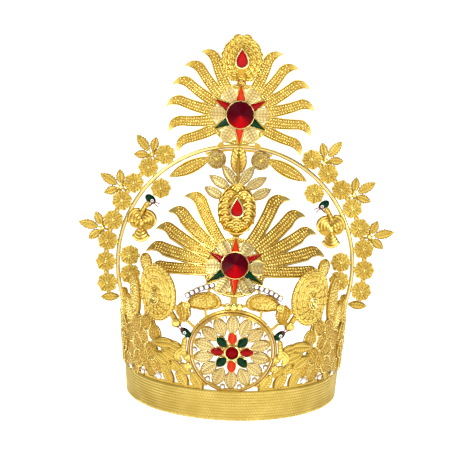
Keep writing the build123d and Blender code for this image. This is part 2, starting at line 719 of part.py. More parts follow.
def make_front_panel():
    """Right-hand front panel: discs, foot leaves and a wire beside the medallion."""
    shapes = [disc_shape(row, FRONT_CENTRE) for row in FRONT_DISCS]
    shapes.append(foot_strip("front", FRONT_CENTRE))
    for row in FRONT_LINKS:
        points = [wall_point(*row[end], FRONT_CENTRE) for end in ("from", "to")]
        shapes.append(bar(*points, 2 * LINK_WIRE))
    panel = on_wall(united(shapes), FRONT_CENTRE, -WALL_THICK, WALL_THICK)
    clear = disc(MEDAL_RADIUS + PANEL_GAP, (0, MEDAL_Z))
    return panel + medal_wire() - on_wall(clear, 0, -2 * WALL_THICK, 4 * WALL_THICK)


def medal_wire():
    """Wire round the medallion's right side, tied to the small oval above it."""
    radius = medal_wire_radius()
    gap = math.degrees(PANEL_GAP / radius)
    start = CREST_STRIP_SPAN + gap
    strip = arc_strip(radius, LINK_WIRE, start, MEDAL_WIRE_END, (0, MEDAL_Z))
    tie = bar(medal_point(radius, start + MEDAL_TIE_TURN), wall_point(*MEDAL_TIE_TO, 0), LINK_WIRE)
    return on_wall(united([strip, tie]), 0, -WALL_THICK, WALL_THICK)


def make_side_panel():
    """Right-hand side panel of overlapping discs."""
    shapes = [disc_shape(row, SIDE_CENTRE) for row in SIDE_DISCS]
    shapes.append(foot_strip("side", SIDE_CENTRE))
    panel = on_wall(united(shapes), SIDE_CENTRE, -WALL_THICK, WALL_THICK)
    return panel - panel_clearance()


def panel_clearance():
    """Front panel's discs, grown by the gap between the panels."""
    shapes = [disc_shape(row, FRONT_CENTRE, PANEL_GAP) for row in FRONT_DISCS]
    return on_wall(united(shapes), FRONT_CENTRE, -2 * WALL_THICK, 4 * WALL_THICK)


def make_wall_stones():
    stones = []
    for row in WALL_STONES:
        seat = wall_seat(row["at"], wall_level(row["up"]), SEAT)
        height = row["across"] * WALL_STONE_RISE
        stones.append(seat * round_stone(row["across"], height, WALL_STONE_SIDES, SMALL_TABLE))
    return stones


def low_neck_radius():
    return medal_wire_radius() + LOW_BIRD_NECK_OUT


def make_low_bird():
    """Body, neck and tail of the bird beside the medallion, right-hand side."""
    radius = low_neck_radius()
    start, end = LOW_BIRD_NECK
    neck_end = medal_point(radius, end - LOW_BIRD_ARM_TURN)
    shapes = [disc_shape(row, 0) for row in LOW_BIRD_TAIL]
    shapes.append(arc_strip(radius, BIRD_NECK, start, end, (0, MEDAL_Z)))
    shapes.append(bar(neck_end, wall_point(*LOW_BIRD_ARM, 0), LOW_BIRD_ARM_WIDTH))
    return on_wall(united(shapes), 0, SEAT, RELIEF)


def make_low_bird_head():
    radius = low_neck_radius()
    place = medal_point(radius + LOW_BIRD_HEAD_OUT, LOW_BIRD_HEAD_AT)
    head = disc(BIRD_HEAD / 2, place)
    beak = leaf(BIRD_HEAD, BIRD_BEAK_WIDTH, place, LOW_BIRD_BEAK_TURN)
    crest = leaf(BIRD_HEAD, BIRD_CREST_WIDTH, place, LOW_BIRD_CREST_TURN)
    body = on_wall(united([head, beak, crest]), 0, SEAT, RELIEF)
    start, end = LOW_BIRD_NECK
    gap = math.degrees(SEAT / radius)
    neck = arc_strip(radius, BIRD_NECK + 2 * SEAT, start - gap, end, (0, MEDAL_Z))
    return body - on_wall(neck, 0, 0, 2 * RELIEF)


# Fans

def lobe_shapes():
    shapes = []
    for i in range(LOBE_COUNT):
        angle = 360 * (i + 0.5) / LOBE_COUNT
        at = polar(LOBE_CENTRE, angle)
        shapes.append(Pos(*at) * Rot(0, 0, -angle) * Ellipse(*LOBE_HALF))
    return shapes


def fan_outline(feathers, reach, stem_top):
    """Disc with lobes, feathers to both sides and a stem for the leaf cone."""
    cup_radius = BIG_STONE / 2 + STONE_FIT + CUP_WALL
    shapes = [disc(cup_radius + LINK_WIRE), bar((0, 0), (0, stem_top), STEM_WIDTH)]
    shapes += lobe_shapes()
    shapes.append(disc(DISC_RADIUS) - disc(DISC_RADIUS - 2 * LINK_WIRE))
    shapes += both_sides([feather(row, reach) for row in feathers])
    shapes += [bar((0, 0), polar(DISC_RADIUS - LINK_WIRE, row["angle"]), RAY_WIDTH) for row in RAYS]
    return shapes


def ray_shape(angle):
    """Long pointed ray of enamel that starts outside the stone's cup."""
    start = BIG_STONE / 2 + STONE_FIT + CUP_WALL + SEAT
    half = RAY_WIDTH / 2
    root = half * RAY_ROOT
    belly = start + (RAY_TIP - start) * RAY_BELLY
    corners = [(-root, start), (-half, belly), (0, RAY_TIP), (half, belly), (root, start)]
    return Rot(0, 0, -angle) * make_face(Polyline(*corners, close=True))


def make_rays(colour, bend):
    return [bend(ray_shape(row["angle"]), SEAT, RAY_THICK) for row in RAYS if row["colour"] == colour]


def big_stone():
    return Pos(0, 0, SEAT) * round_stone(BIG_STONE, STONE_HEIGHT)


def make_leaf_cone():
    """Scalloped cone of petals with three leaves on each side of its top."""
    centre = cone_centre()
    proud = CONE_SCALLOP * CONE_SCALLOP_SHARE
    shapes = [oval((CONE_HALF_WIDTH - proud, CONE_HALF_HEIGHT - proud), (0, centre))]
    for i in range(CONE_SCALLOPS):
        x, y = polar(1, 360 * (i + 0.5) / CONE_SCALLOPS)
        at = (x * (CONE_HALF_WIDTH - CONE_SCALLOP), y * (CONE_HALF_HEIGHT - CONE_SCALLOP) + centre)
        shapes.append(disc(CONE_SCALLOP, at))
    crown = []
    for row in CROWN_LEAVES:
        root = (row["across"], centre + CONE_HALF_HEIGHT - row["drop"])
        crown.append(leaf(row["length"], CROWN_LEAF_WIDTH, root, row["angle"]))
    return on_low_fan(united(shapes + both_sides(crown)), SEAT, CONE_THICK)


def make_low_fan():
    """Bent plate of feathers with the stone's cup and the stay to the arch."""
    stem_top = cone_centre() + CONE_HALF_HEIGHT * LOW_STEM_SHARE
    foot = Pos(0, -LOW_STONE_RISE / 2) * Rectangle(STEM_WIDTH, LOW_STONE_RISE)
    outline = united(fan_outline(LOW_FEATHERS, LOW_FAN_REACH, stem_top) + [foot])
    plate = on_low_fan(outline, -FAN_THICK, FAN_THICK)
    fan = low_fan_frame() * (plate + stone_cup())
    return fan + make_stay(stem_top)


def make_stay(stem_top):
    """Straight rod from the top of the fan's stem to the leaf under the arch."""
    depth = FAN_THICK / 2 + STAY_DIAMETER / 2
    start = (low_fan_frame() * Pos(0, stem_top - STAY_DIAMETER, -depth)).position
    hang = ARCH_RADIUS - ARCH_WIRE / 2 - SEAT - HANG_LEAF * STAY_SHARE
    end = (halo_frame() * Pos(0, hang, HANG_THICK / 2 + SEAT)).position
    axis = end - start
    length = axis.length
    rod = Solid.make_cylinder(STAY_DIAMETER / 2, length, Plane(origin=start, z_dir=axis))
    behind = on_halo(Rectangle(HANG_LEAF, 2 * ARCH_RADIUS), -HANG_THICK, 1.5 * HANG_THICK + SEAT)
    return rod - halo_frame() * behind


# Arch, rosettes, sprays and what hangs from the arch

def make_arch():
    """Round wire bent to an arc, its two ends seated on the wall."""
    section = Plane.XZ * Pos(ARCH_RADIUS, 0) * Circle(ARCH_WIRE / 2)
    ring = revolve(section, Axis.Z, 180 + 2 * ARCH_END)
    return Rot(0, 0, -ARCH_END) * ring


def rosette_shapes(at):
    petal = ROSETTE_PETAL / 2
    ring = ROSETTE / 2 - petal
    shapes = [disc(ring, at)]
    for i in range(ROSETTE_PETALS):
        x, y = polar(ring, 360 * i / ROSETTE_PETALS)
        shapes.append(disc(petal, (at[0] + x, at[1] + y)))
    return shapes


def rosette_boss(at):
    base = ROSETTE_THICK / 2 - BOSS_OVERLAP
    return on_halo(disc(ROSETTE_BOSS / 2, at), base, ROSETTE_BOSS_RISE + BOSS_OVERLAP)


def rosette_angle(step):
    """Angle of a rosette, counted from 0 at the top, or of the gap between two."""
    below = ROSETTE_COUNT - 1 - step
    return arch_angle(chain_radius(), ROSETTE_FROM_END + below * ROSETTE_STEP)


def chain_radius():
    return ARCH_RADIUS + ARCH_WIRE / 2 + SEAT + ROSETTE / 2


def make_rosette_chain():
    """Right-hand chain of rosettes outside the arch, soldered by knots."""
    shapes = []
    bosses = []
    for i in range(ROSETTE_COUNT):
        at = polar(chain_radius(), rosette_angle(i))
        shapes += rosette_shapes(at)
        bosses.append(rosette_boss(at))
        if i < ROSETTE_COUNT - 1:
            shapes.append(disc(KNOT / 2, polar(chain_radius(), rosette_angle(i + 0.5))))
    return on_halo(united(shapes), -ROSETTE_THICK / 2, ROSETTE_THICK) + bosses


def inner_radius():
    return ARCH_RADIUS - ARCH_WIRE / 2 - SEAT - ROSETTE / 2


def make_inner_rosettes(distances):
    """Rosettes inside the arch, right-hand side, at distances from its end."""
    angles = [arch_angle(inner_radius(), distance) for distance in distances]
    places = [polar(inner_radius(), angle) for angle in angles]
    shapes = [shape for at in places for shape in rosette_shapes(at)]
    for low, high in zip(angles, angles[1:]):
        shapes.append(disc(KNOT / 2, polar(inner_radius(), (low + high) / 2)))
    plate = on_halo(united(shapes), -ROSETTE_THICK / 2, ROSETTE_THICK)
    return plate + [rosette_boss(at) for at in places]


def hub_radius():
    """Radius at which a spray's hub nests between two rosettes."""
    half = ROSETTE_STEP / chain_radius() / 2
    reach = ROSETTE / 2 + SEAT + SPRAY_HUB / 2
    across = chain_radius() * math.sin(half)
    return chain_radius() * math.cos(half) + math.sqrt(reach ** 2 - across ** 2)


def make_spray(first):
    """Spray of three leaves between a rosette, counted from the top, and the next."""
    angle = rosette_angle(first + 0.5)
    hub = polar(hub_radius(), angle)
    shapes = [disc(SPRAY_HUB / 2, hub), leaf(SPRAY_LEAF, SPRAY_LEAF_WIDTH, hub, angle, LEAF_BELLY)]
    side_width = SPRAY_LEAF_WIDTH * SPRAY_SIDE_SHARE
    for turn in (-SPRAY_SIDE_TURN, SPRAY_SIDE_TURN):
        shapes.append(leaf(SPRAY_SIDE_LEAF, side_width, hub, angle + turn, LEAF_BELLY))
    spray = on_halo(united(shapes), -SPRAY_THICK / 2, SPRAY_THICK)
    clear = [disc(ROSETTE / 2 + SEAT, polar(chain_radius(), rosette_angle(i))) for i in (first, first + 1)]
    return spray - on_halo(united(clear), -ROSETTE_THICK, 2 * ROSETTE_THICK)


def make_end_leaf():
    """Leaf that points outwards beside the arch's right-hand end."""
    radius = ARCH_RADIUS + ARCH_WIRE / 2 + SEAT
    root = polar(radius, arch_angle(radius, END_LEAF_UP))
    return on_halo(leaf(END_LEAF, END_LEAF_WIDTH, root, END_LEAF_TURN), -SPRAY_THICK / 2, SPRAY_THICK)


def high_neck_angle(up):
    """Angle on the arc of the high bird's neck, at a distance above its body's middle."""
    return arch_angle(ARCH_RADIUS - HIGH_BIRD_NECK_IN, HIGH_BIRD_FROM_END + up)


def high_neck(width, up):
    """Strip of the high bird's neck, from its body to a distance above it."""
    return arc_strip(ARCH_RADIUS - HIGH_BIRD_NECK_IN, width, high_neck_angle(up), high_neck_angle(0))


def make_high_bird():
    """Body and neck of the bird inside the arch, right-hand side."""
    reach = ARCH_RADIUS - ARCH_WIRE / 2 - SEAT - HIGH_BIRD_IN * BIRD_LOBE
    middle = polar(reach, high_neck_angle(0))
    shapes = [high_neck(BIRD_NECK, HIGH_BIRD_NECK_LONG)]
    for row in HIGH_BIRD_LOBES:
        at = (middle[0] + row["across"] * BIRD_LOBE, middle[1] + row["up"] * BIRD_LOBE)
        shapes.append(disc(BIRD_LOBE * HIGH_BIRD_LOBE_SHARE, at))
    return on_halo(united(shapes), -BIRD_THICK / 2, BIRD_THICK)


def make_high_bird_head():
    at = polar(ARCH_RADIUS - HIGH_BIRD_NECK_IN, high_neck_angle(HIGH_BIRD_HEAD_UP))
    crest = leaf(BIRD_HEAD, BIRD_CREST_WIDTH, at, -120)
    beak = leaf(BIRD_HEAD, BIRD_BEAK_WIDTH, at, 150)
    body = on_halo(united([disc(BIRD_HEAD / 2, at), crest, beak]), -BIRD_THICK / 2, BIRD_THICK)
    neck = high_neck(BIRD_NECK + 2 * SEAT, HIGH_BIRD_NECK_LONG + SEAT)
    return body - on_halo(neck, -BIRD_THICK, 2 * BIRD_THICK)


def make_hanging():
    """Discs, a leaf and two feathers that hang under the top of the arch."""
    reach = ARCH_RADIUS - ARCH_WIRE / 2 - SEAT
    shapes = [leaf(HANG_LEAF, HANG_LEAF_WIDTH, (0, reach), 180)]
    span = HANG_FEATHER_FROM + HANG_STRIP_PAST
    strip = arc_strip(reach - LINK_WIRE / 2, LINK_WIRE, -span, span)
    side = [disc(HANG_DISC / 2, polar(reach - HANG_DISC / 2, HANG_DISC_ANGLE))]
    start = polar(reach - HANG_FEATHER_IN, HANG_FEATHER_FROM)
    end = polar(reach - HANG_FEATHER_IN, HANG_FEATHER_TO)
    blade = bowed(start, end, HANG_FEATHER_BOWS[0]) + bowed(end, start, HANG_FEATHER_BOWS[1])
    side.append(make_face(blade))
    return on_halo(united(shapes + [strip] + both_sides(side)), -HANG_THICK / 2, HANG_THICK)


# Upper fan, in front of the arch's top

def top_base():
    """Depth of the upper fan's front face in the arch's frame."""
    return ARCH_WIRE / 2 + SEAT + FAN_THICK


def on_top_fan(outline, base, thickness):
    """Flat plate in the upper fan's frame, whose origin is its stone's middle."""
    return Pos(0, ARCH_RADIUS + TOP_STONE_RISE, top_base()) * on_halo(outline, base, thickness)


def leaf_centre():
    return RAY_TIP + CONE_GAP + LEAF_HALF_HEIGHT


def make_top_fan():
    """Flat plate of feathers with the stone's cup and two feet on the arch."""
    stem_top = leaf_centre() + LEAF_HALF_HEIGHT / 2
    foot = (FOOT_SPREAD, -TOP_STONE_RISE + SEAT)
    feet = both_sides([disc(FOOT_BALL / 2, foot), bar((0, 0), foot, LINK_WIRE)])
    outline = united(fan_outline(TOP_FEATHERS, TOP_FAN_REACH, stem_top) + feet)
    return on_top_fan(outline, -FAN_THICK, FAN_THICK) + on_top_seat(0, 0) * stone_cup()


def make_top_leaf():
    """Broad scalloped leaf with a blunt, double top."""
    centre = leaf_centre()
    low = centre - LEAF_LOWERED
    wide = LEAF_HALF_WIDTH - LEAF_SCALLOP
    tall = LEAF_HALF_HEIGHT - LEAF_SCALLOP
    shapes = [oval((wide, tall), (0, low))]
    for i in range(LEAF_SCALLOPS):
        x, y = polar(1, LEAF_SCALLOP_SPAN * (i / (LEAF_SCALLOPS - 1) - 0.5))
        shapes.append(disc(LEAF_SCALLOP, (x * wide, y * tall + low)))
    top = (LEAF_TOP_SPREAD, centre + LEAF_HALF_HEIGHT - LEAF_TOP_RADIUS)
    shapes += both_sides([disc(LEAF_TOP_RADIUS, top)])
    shapes.append(drop(*LEAF_FOOT, (0, centre - LEAF_HALF_HEIGHT + LEAF_FOOT[0] / 2), 180))
    return on_top_fan(united(shapes), SEAT, CONE_THICK)


def on_top_seat(height, offset):
    """Place above the upper fan's stone, in front of the fan."""
    return Pos(0, ARCH_RADIUS + TOP_STONE_RISE + height, top_base() + offset)


def write(name, shape):
    """Write one piece, or the loose pieces of one node, as a STEP file."""
    solids = []
    for item in shape if isinstance(shape, list) else [shape]:
        solids += item.solids()
    export_step(Compound(children=solids) if len(solids) > 1 else solids[0], f"parts/{name}.step")


def write_pair(name, shape, turn=Location()):
    """Write a right-hand piece and its mirror image."""
    shapes = shape if isinstance(shape, list) else [shape]
    placed = [turn * item for item in shapes]
    write(f"{name}_right", placed)
    write(f"{name}_left", [mirror(item, about=Plane.YZ) for item in placed])


def main():
    os.makedirs("parts", exist_ok=True)
    write("base_band", make_band())
    write("centre_medallion", make_medallion())
    for colour in ("orange", "red", "green"):
        write(f"medallion_petals_{colour}", make_petals(colour))
    write("medallion_stone", make_medal_stone())
    write("medallion_rhinestones", make_medal_rhinestones())
    write("medallion_crest", make_crest())
    write("crest_stones_right", make_crest_stones(1))
    write("crest_stones_left", make_crest_stones(-1))
    write_pair("front_panel", make_front_panel())
    write_pair("side_panel", make_side_panel())
    write_pair("wall_stones", make_wall_stones())
    write_pair("low_peacock", make_low_bird())
    write_pair("low_peacock_head", make_low_bird_head())

    write("lower_fan", make_low_fan())
    fan = low_fan_frame()
    for colour in ("orange", "red", "green"):
        write(f"lower_fan_rays_{colour}", [fan * ray for ray in make_rays(colour, on_low_fan)])
    write("lower_fan_stone", fan * big_stone())
    write("leaf_cone", fan * make_leaf_cone())
    write("leaf_cone_stone", fan * Pos(0, cone_centre(), CONE_THICK + 2 * SEAT) * drop_stone())

    halo = halo_frame()
    write("arch_wire", halo * make_arch())
    write_pair("rosette_chain", make_rosette_chain(), halo)
    write_pair("inner_rosette", make_inner_rosettes(INNER_ROSETTES["upper"]), halo)
    write_pair("lower_inner_rosettes", make_inner_rosettes(INNER_ROSETTES["lower"]), halo)
    for place, first in SPRAYS.items():
        write_pair(f"{place}_spray", make_spray(first), halo)
    write_pair("end_leaf", make_end_leaf(), halo)
    write_pair("high_peacock", make_high_bird(), halo)
    write_pair("high_peacock_head", make_high_bird_head(), halo)
    write("arch_hanging", halo * make_hanging())

    write("top_fan", halo * make_top_fan())
    for colour in ("orange", "red", "green"):
        write(f"top_fan_rays_{colour}", [halo * ray for ray in make_rays(colour, on_top_fan)])
    write("top_fan_stone", halo * on_top_seat(0, 0) * big_stone())
    write("top_leaf", halo * make_top_leaf())
    stone_seat = on_top_seat(leaf_centre(), CONE_THICK + 2 * SEAT)
    write("top_leaf_stone", halo * stone_seat * drop_stone())


main()
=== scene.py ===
"""Looks of a tall openwork crown in gilt brass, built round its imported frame."""

import logging
import math
from dataclasses import dataclass, replace
from enum import Enum
from typing import Callable, Protocol, Sequence

import bmesh
import bpy
from mathutils import Matrix, Vector


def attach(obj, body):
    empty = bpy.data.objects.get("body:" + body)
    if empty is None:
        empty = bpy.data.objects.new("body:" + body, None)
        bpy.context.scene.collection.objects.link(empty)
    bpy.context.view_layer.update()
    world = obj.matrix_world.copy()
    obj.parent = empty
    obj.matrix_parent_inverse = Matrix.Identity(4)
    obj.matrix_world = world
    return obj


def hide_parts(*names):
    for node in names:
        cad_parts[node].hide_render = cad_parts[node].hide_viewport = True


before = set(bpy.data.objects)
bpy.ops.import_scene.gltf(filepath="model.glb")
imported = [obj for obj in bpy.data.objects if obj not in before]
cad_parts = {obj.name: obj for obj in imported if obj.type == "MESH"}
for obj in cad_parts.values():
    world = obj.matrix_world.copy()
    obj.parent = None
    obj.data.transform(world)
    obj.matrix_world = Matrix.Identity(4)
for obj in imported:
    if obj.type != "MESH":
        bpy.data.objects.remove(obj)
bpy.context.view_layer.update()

MM = 0.001
SHARP_ANGLE = math.radians(55)
GOLDEN_ANGLE = math.radians(137.508)
GOLDEN_SHARE = 0.618034
SHADOW_SPECK_SHARE = 0.16           # part of a feather's beads that have a dark speck, painted shadow between the beads
MERGE = 0.03                 # millimetres within which points of one shape merge
PATCH_SHARES = (0.3, 0.7, 0.55, 1.0)       # unevenness read, then share of the crests' colour given
GRANULE_RISE = (0.15, 0.62, 1.0, 0.0)      # distance from a granule's middle, then its height
GRANULE_SHADE_SHARES = (0.0, 0.5, 0.25, 1.0)     # height on a granule, then share of the crests' colour; the low share at its foot is painted shade between granules
GRANULE_SIZES = (0.8, 1.2)                 # smallest and largest, as shares of the middle size
SHELL_ROUND = 0.16           # how far a scale's edge falls back at its sides, as a share of its size
SHELL_RIDGE = 0.3            # height of a scale's ridge, as a share of the lift
WIRE_SIDES = 6
TOOTH_DEPTH = 0.16           # depth of a leaf's tooth, as a share of its half width

Colour = tuple[float, float, float, float]
Point = tuple[float, float]
Place = tuple[float, float, float]
Shape = Callable[[float, float], tuple[float, float, float, float]]
log = logging.getLogger("crown")


# Finishes

class Shader:
    """Node tree of one material with a Principled surface."""

    def __init__(self, name: str) -> None:
        """Start the material.

        Args:
            name: Name of the material.
        """
        self.material = bpy.data.materials.new(name)
        self.material.use_nodes = True
        self.tree = self.material.node_tree
        self.tree.nodes.clear()
        self.surface = self.add("ShaderNodeBsdfPrincipled")
        output = self.add("ShaderNodeOutputMaterial")
        self.link(self.surface.outputs["BSDF"], output.inputs["Surface"])

    def add(self, kind: str, **settings: object) -> bpy.types.Node:
        """Add a node.

        Args:
            kind: Blender's name of the node.
            settings: Properties of the node.

        Returns:
            The new node.
        """
        node = self.tree.nodes.new(kind)
        for name, value in settings.items():
            setattr(node, name, value)
        return node

    def link(self, start: bpy.types.NodeSocket, end: bpy.types.NodeSocket) -> None:
        """Join two sockets."""
        self.tree.links.new(start, end)

    def position(self, scale: float) -> bpy.types.NodeSocket:
        """Object coordinates times a scale.

        Args:
            scale: Times per metre.

        Returns:
            Socket with the scaled place.
        """
        place = self.add("ShaderNodeTexCoord")
        mapping = self.add("ShaderNodeMapping")
        mapping.inputs["Scale"].default_value = (scale, scale, scale)
        self.link(place.outputs["Object"], mapping.inputs["Vector"])
        return mapping.outputs["Vector"]

    def mixed(self, share: bpy.types.NodeSocket, low: Colour, high: Colour) -> bpy.types.NodeSocket:
        """Colour between two others.

        Args:
            share: Socket from 0 to 1.
            low: Colour at 0.
            high: Colour at 1.

        Returns:
            Socket with the colour.
        """
        mix = self.add("ShaderNodeMix", data_type="RGBA")
        self.link(share, mix.inputs["Factor"])
        mix.inputs["A"].default_value = low
        mix.inputs["B"].default_value = high
        return next(out for out in mix.outputs if out.type == "RGBA")

    def ranged(self, value: bpy.types.NodeSocket, limits: Sequence[float]) -> bpy.types.NodeSocket:
        """Value moved from one range to another.

        Args:
            value: Socket to read.
            limits: Lowest and highest value read, then lowest and highest given.

        Returns:
            Socket with the moved value.
        """
        node = self.add("ShaderNodeMapRange")
        self.link(value, node.inputs["Value"])
        for name, limit in zip(("From Min", "From Max", "To Min", "To Max"), limits):
            node.inputs[name].default_value = limit
        return node.outputs["Result"]


@dataclass(frozen=True)
class GoldFinish:
    """Gilt brass mixed from its crest colour to a darker one by random patches and, where toned, by the
    piece's tone, which paints shade into its hollows and between its granules.
    """

    name: str
    crest: Colour
    patch_and_shade: Colour
    rough: tuple[float, float]      # at the crests and in the hollows
    grain: float = 0.0              # width of a granule in millimetres, or 0
    grain_height: float = 0.0       # in millimetres
    toned: bool = True              # reads the piece's own tone attribute
    fine: float = 0.35              # width of the fine unevenness in millimetres
    fine_height: float = 0.02
    fine_detail: float = 3.0
    patch: float = 12.0             # width of the patches of colour in millimetres
    scatter: float = 0.8            # how unevenly the granules lie, from 0 to 1

    def material(self) -> bpy.types.Material:
        """Build the material.

        Returns:
            The material.
        """
        shader = Shader(self.name)
        shader.surface.inputs["Metallic"].default_value = 1.0
        fine = shader.add("ShaderNodeTexNoise")
        shader.link(shader.position(1 / (self.fine * MM)), fine.inputs["Vector"])
        fine.inputs["Scale"].default_value = 1.0
        fine.inputs["Detail"].default_value = self.fine_detail
        patchy = shader.add("ShaderNodeTexNoise")
        shader.link(shader.position(1 / (self.patch * MM)), patchy.inputs["Vector"])
        patchy.inputs["Scale"].default_value = 1.0
        share = shader.ranged(patchy.outputs["Fac"], PATCH_SHARES)
        if self.toned:
            tone = shader.add("ShaderNodeAttribute", attribute_name="tone")
            share = self.product(shader, share, tone.outputs["Fac"])
        bump = shader.add("ShaderNodeBump")
        bump.inputs["Distance"].default_value = self.fine_height * MM
        shader.link(fine.outputs["Fac"], bump.inputs["Height"])
        if self.grain:
            cells = shader.add("ShaderNodeTexVoronoi", feature="F1")
            cells.inputs["Scale"].default_value = 1.0
            shader.link(shader.position(1 / (self.grain * MM)), cells.inputs["Vector"])
            cells.inputs["Randomness"].default_value = self.scatter
            granule = shader.ranged(cells.outputs["Distance"], GRANULE_RISE)
            share = self.product(shader, share, shader.ranged(granule, GRANULE_SHADE_SHARES))
            rise = shader.add("ShaderNodeBump")
            rise.inputs["Distance"].default_value = self.grain_height * MM
            shader.link(granule, rise.inputs["Height"])
            shader.link(bump.outputs["Normal"], rise.inputs["Normal"])
            bump = rise
        # darker colour: painted shade in the hollows and between the granules, and random patches
        shader.link(shader.mixed(share, self.patch_and_shade, self.crest), shader.surface.inputs["Base Color"])
        rough = shader.ranged(share, (0.0, 1.0, self.rough[1], self.rough[0]))
        shader.link(rough, shader.surface.inputs["Roughness"])
        shader.link(bump.outputs["Normal"], shader.surface.inputs["Normal"])
        return shader.material

    @staticmethod
    def product(
        shader: Shader, first: bpy.types.NodeSocket, second: bpy.types.NodeSocket,
    ) -> bpy.types.NodeSocket:
        """Product of two sockets.

        Args:
            shader: Shader to add the node to.
            first: One socket.
            second: The other socket.

        Returns:
            Socket with the product.
        """
        node = shader.add("ShaderNodeMath", operation="MULTIPLY", use_clamp=True)
        shader.link(first, node.inputs[0])
        shader.link(second, node.inputs[1])
        return node.outputs["Value"]


@dataclass(frozen=True)
class GlossFinish:
    """Enamel or cut stone, mixed from its deep colour to its light one by the piece's tone, which paints
    shade at an enamel's edge and light and shade on a stone.
    """

    name: str
    light: Colour
    deep_and_shaded: Colour
    rough: float = 0.14
    coat: float = 0.15
    coat_rough: float = 0.04
    shine: float = 0.22             # strength of the mirror reflection
    mottle: float = 2.5             # width of the colour's unevenness in millimetres
    mottle_share: float = 0.2       # how much that unevenness adds to the tone

    def material(self) -> bpy.types.Material:
        """Build the material.

        Returns:
            The material.
        """
        shader = Shader(self.name)
        values = {
            "Roughness": self.rough,
            "Coat Weight": self.coat,
            "Coat Roughness": self.coat_rough,
            "Specular IOR Level": self.shine,
        }
        for name, value in values.items():
            shader.surface.inputs[name].default_value = value
        mottle = shader.add("ShaderNodeTexNoise")
        shader.link(shader.position(1 / (self.mottle * MM)), mottle.inputs["Vector"])
        mottle.inputs["Scale"].default_value = 1.0
        tone = shader.add("ShaderNodeAttribute", attribute_name="tone")
        share = shader.add("ShaderNodeMath", operation="MULTIPLY_ADD", use_clamp=True)
        shader.link(mottle.outputs["Fac"], share.inputs[0])
        share.inputs[1].default_value = self.mottle_share
        shader.link(tone.outputs["Fac"], share.inputs[2])
        # deep colour where the tone is low: the stone's own depth and painted shade
        shader.link(
            shader.mixed(share.outputs["Value"], self.deep_and_shaded, self.light),
            shader.surface.inputs["Base Color"],
        )
        return shader.material


class Gold(Enum):
    """Finishes of the gilt brass."""

    # darker than the raised work's gold: painted shade where the frame shows in the gaps
    SHADED_PLATE = GoldFinish(
        "gold_plate_painted_shade", (0.62, 0.41, 0.07, 1), (0.34, 0.19, 0.015, 1), (0.5, 0.62), toned=False,
    )
    SHEET = GoldFinish("gold_stamped", (1.0, 0.81, 0.24, 1), (0.36, 0.19, 0.008, 1), (0.27, 0.5))
    VEINED = GoldFinish("gold_veined", (0.94, 0.77, 0.2, 1), (0.36, 0.19, 0.01, 1), (0.3, 0.5))
    LACE = GoldFinish("gold_lace", (1.0, 0.92, 0.48, 1), (0.35, 0.2, 0.03, 1), (0.34, 0.5))
    FILIGREE = GoldFinish(
        "gold_filigree", (1.0, 0.82, 0.23, 1), (0.36, 0.18, 0.008, 1), (0.3, 0.5), grain=1.15,
        grain_height=0.22,
    )
    BRIGHT = GoldFinish("gold_bright", (1.0, 0.86, 0.32, 1), (0.6, 0.36, 0.04, 1), (0.18, 0.34))
    WIRE = GoldFinish(
        "gold_wire", (0.73, 0.59, 0.22, 1), (0.52, 0.35, 0.08, 1), (0.3, 0.4), toned=False, fine_height=0.008,
    )
    WOVEN = GoldFinish("gold_woven", (0.74, 0.58, 0.165, 1), (0.38, 0.24, 0.03, 1), (0.36, 0.5))
    SHELL = GoldFinish("gold_shell", (1.0, 0.84, 0.24, 1), (0.44, 0.2, 0.005, 1), (0.24, 0.42))


class Gloss(Enum):
    """Enamels and stones."""

    ORANGE = GlossFinish(
        "enamel_orange", (0.64, 0.034, 0.003, 1), (0.44, 0.01, 0.002, 1), coat=0.04, shine=0.1,
    )
    RED = GlossFinish(
        "enamel_red", (0.34, 0.001, 0.002, 1), (0.12, 0.0, 0.001, 1), coat=0.03, shine=0.08,
    )
    GREEN = GlossFinish(
        "enamel_green", (0.0, 0.034, 0.009, 1), (0.0, 0.006, 0.003, 1), coat=0.03, shine=0.08,
    )
    GARNET = GlossFinish(
        "stone_dark_red", (0.42, 0.0, 0.002, 1), (0.022, 0.0, 0.004, 1), rough=0.3, coat=0.0, shine=0.04,
    )
    RUBY = GlossFinish(
        "stone_red", (0.46, 0.002, 0.002, 1), (0.13, 0.0, 0.001, 1), rough=0.26, coat=0.03, shine=0.12,
    )
    CRYSTAL = GlossFinish(
        "white_crystal", (0.96, 0.96, 0.98, 1), (0.3, 0.25, 0.3, 1), rough=0.05, coat=1.0, shine=0.6,
    )
    WHITE = GlossFinish("eye_white", (0.95, 0.94, 0.9, 1), (0.8, 0.78, 0.72, 1), rough=0.3)
    MAROON = GlossFinish(
        "dark_red_line", (0.2, 0.012, 0.01, 1), (0.08, 0.006, 0.006, 1), rough=0.4, coat=0.0,
    )
    DARK = GlossFinish(
        "dark_line", (0.12, 0.02, 0.006, 1), (0.04, 0.008, 0.004, 1), rough=0.4, coat=0.0,
    )


class Palette:
    """Materials, each made once."""

    def __init__(self) -> None:
        """Start with no materials."""
        self.made: dict[Gold | Gloss, bpy.types.Material] = {}

    def of(self, finish: Gold | Gloss) -> bpy.types.Material:
        """Material of a finish.

        Args:
            finish: Which finish.

        Returns:
            The material.
        """
        if finish not in self.made:
            self.made[finish] = finish.value.material()
        return self.made[finish]


PALETTE = Palette()
GOLD_FINISHES = (Gold.SHEET, Gold.BRIGHT, Gold.FILIGREE, Gloss.DARK, Gold.SHELL, Gold.VEINED, Gold.LACE)
SHEET, BRIGHT, FILIGREE, DARK, SHELLS, VEINED, LACE = range(len(GOLD_FINISHES))
HEAD_FINISHES = (Gloss.GREEN, Gloss.WHITE, Gloss.DARK, Gloss.MAROON)
HEAD, EYE, PUPIL, LINE = range(len(HEAD_FINISHES))


# Surfaces that raised work lies on

class Surface(Protocol):
    """Place for flat work: x across, y up and z out, in millimetres."""

    def at(self, point: Vector) -> Vector:
        """Place in metres of a flat point."""


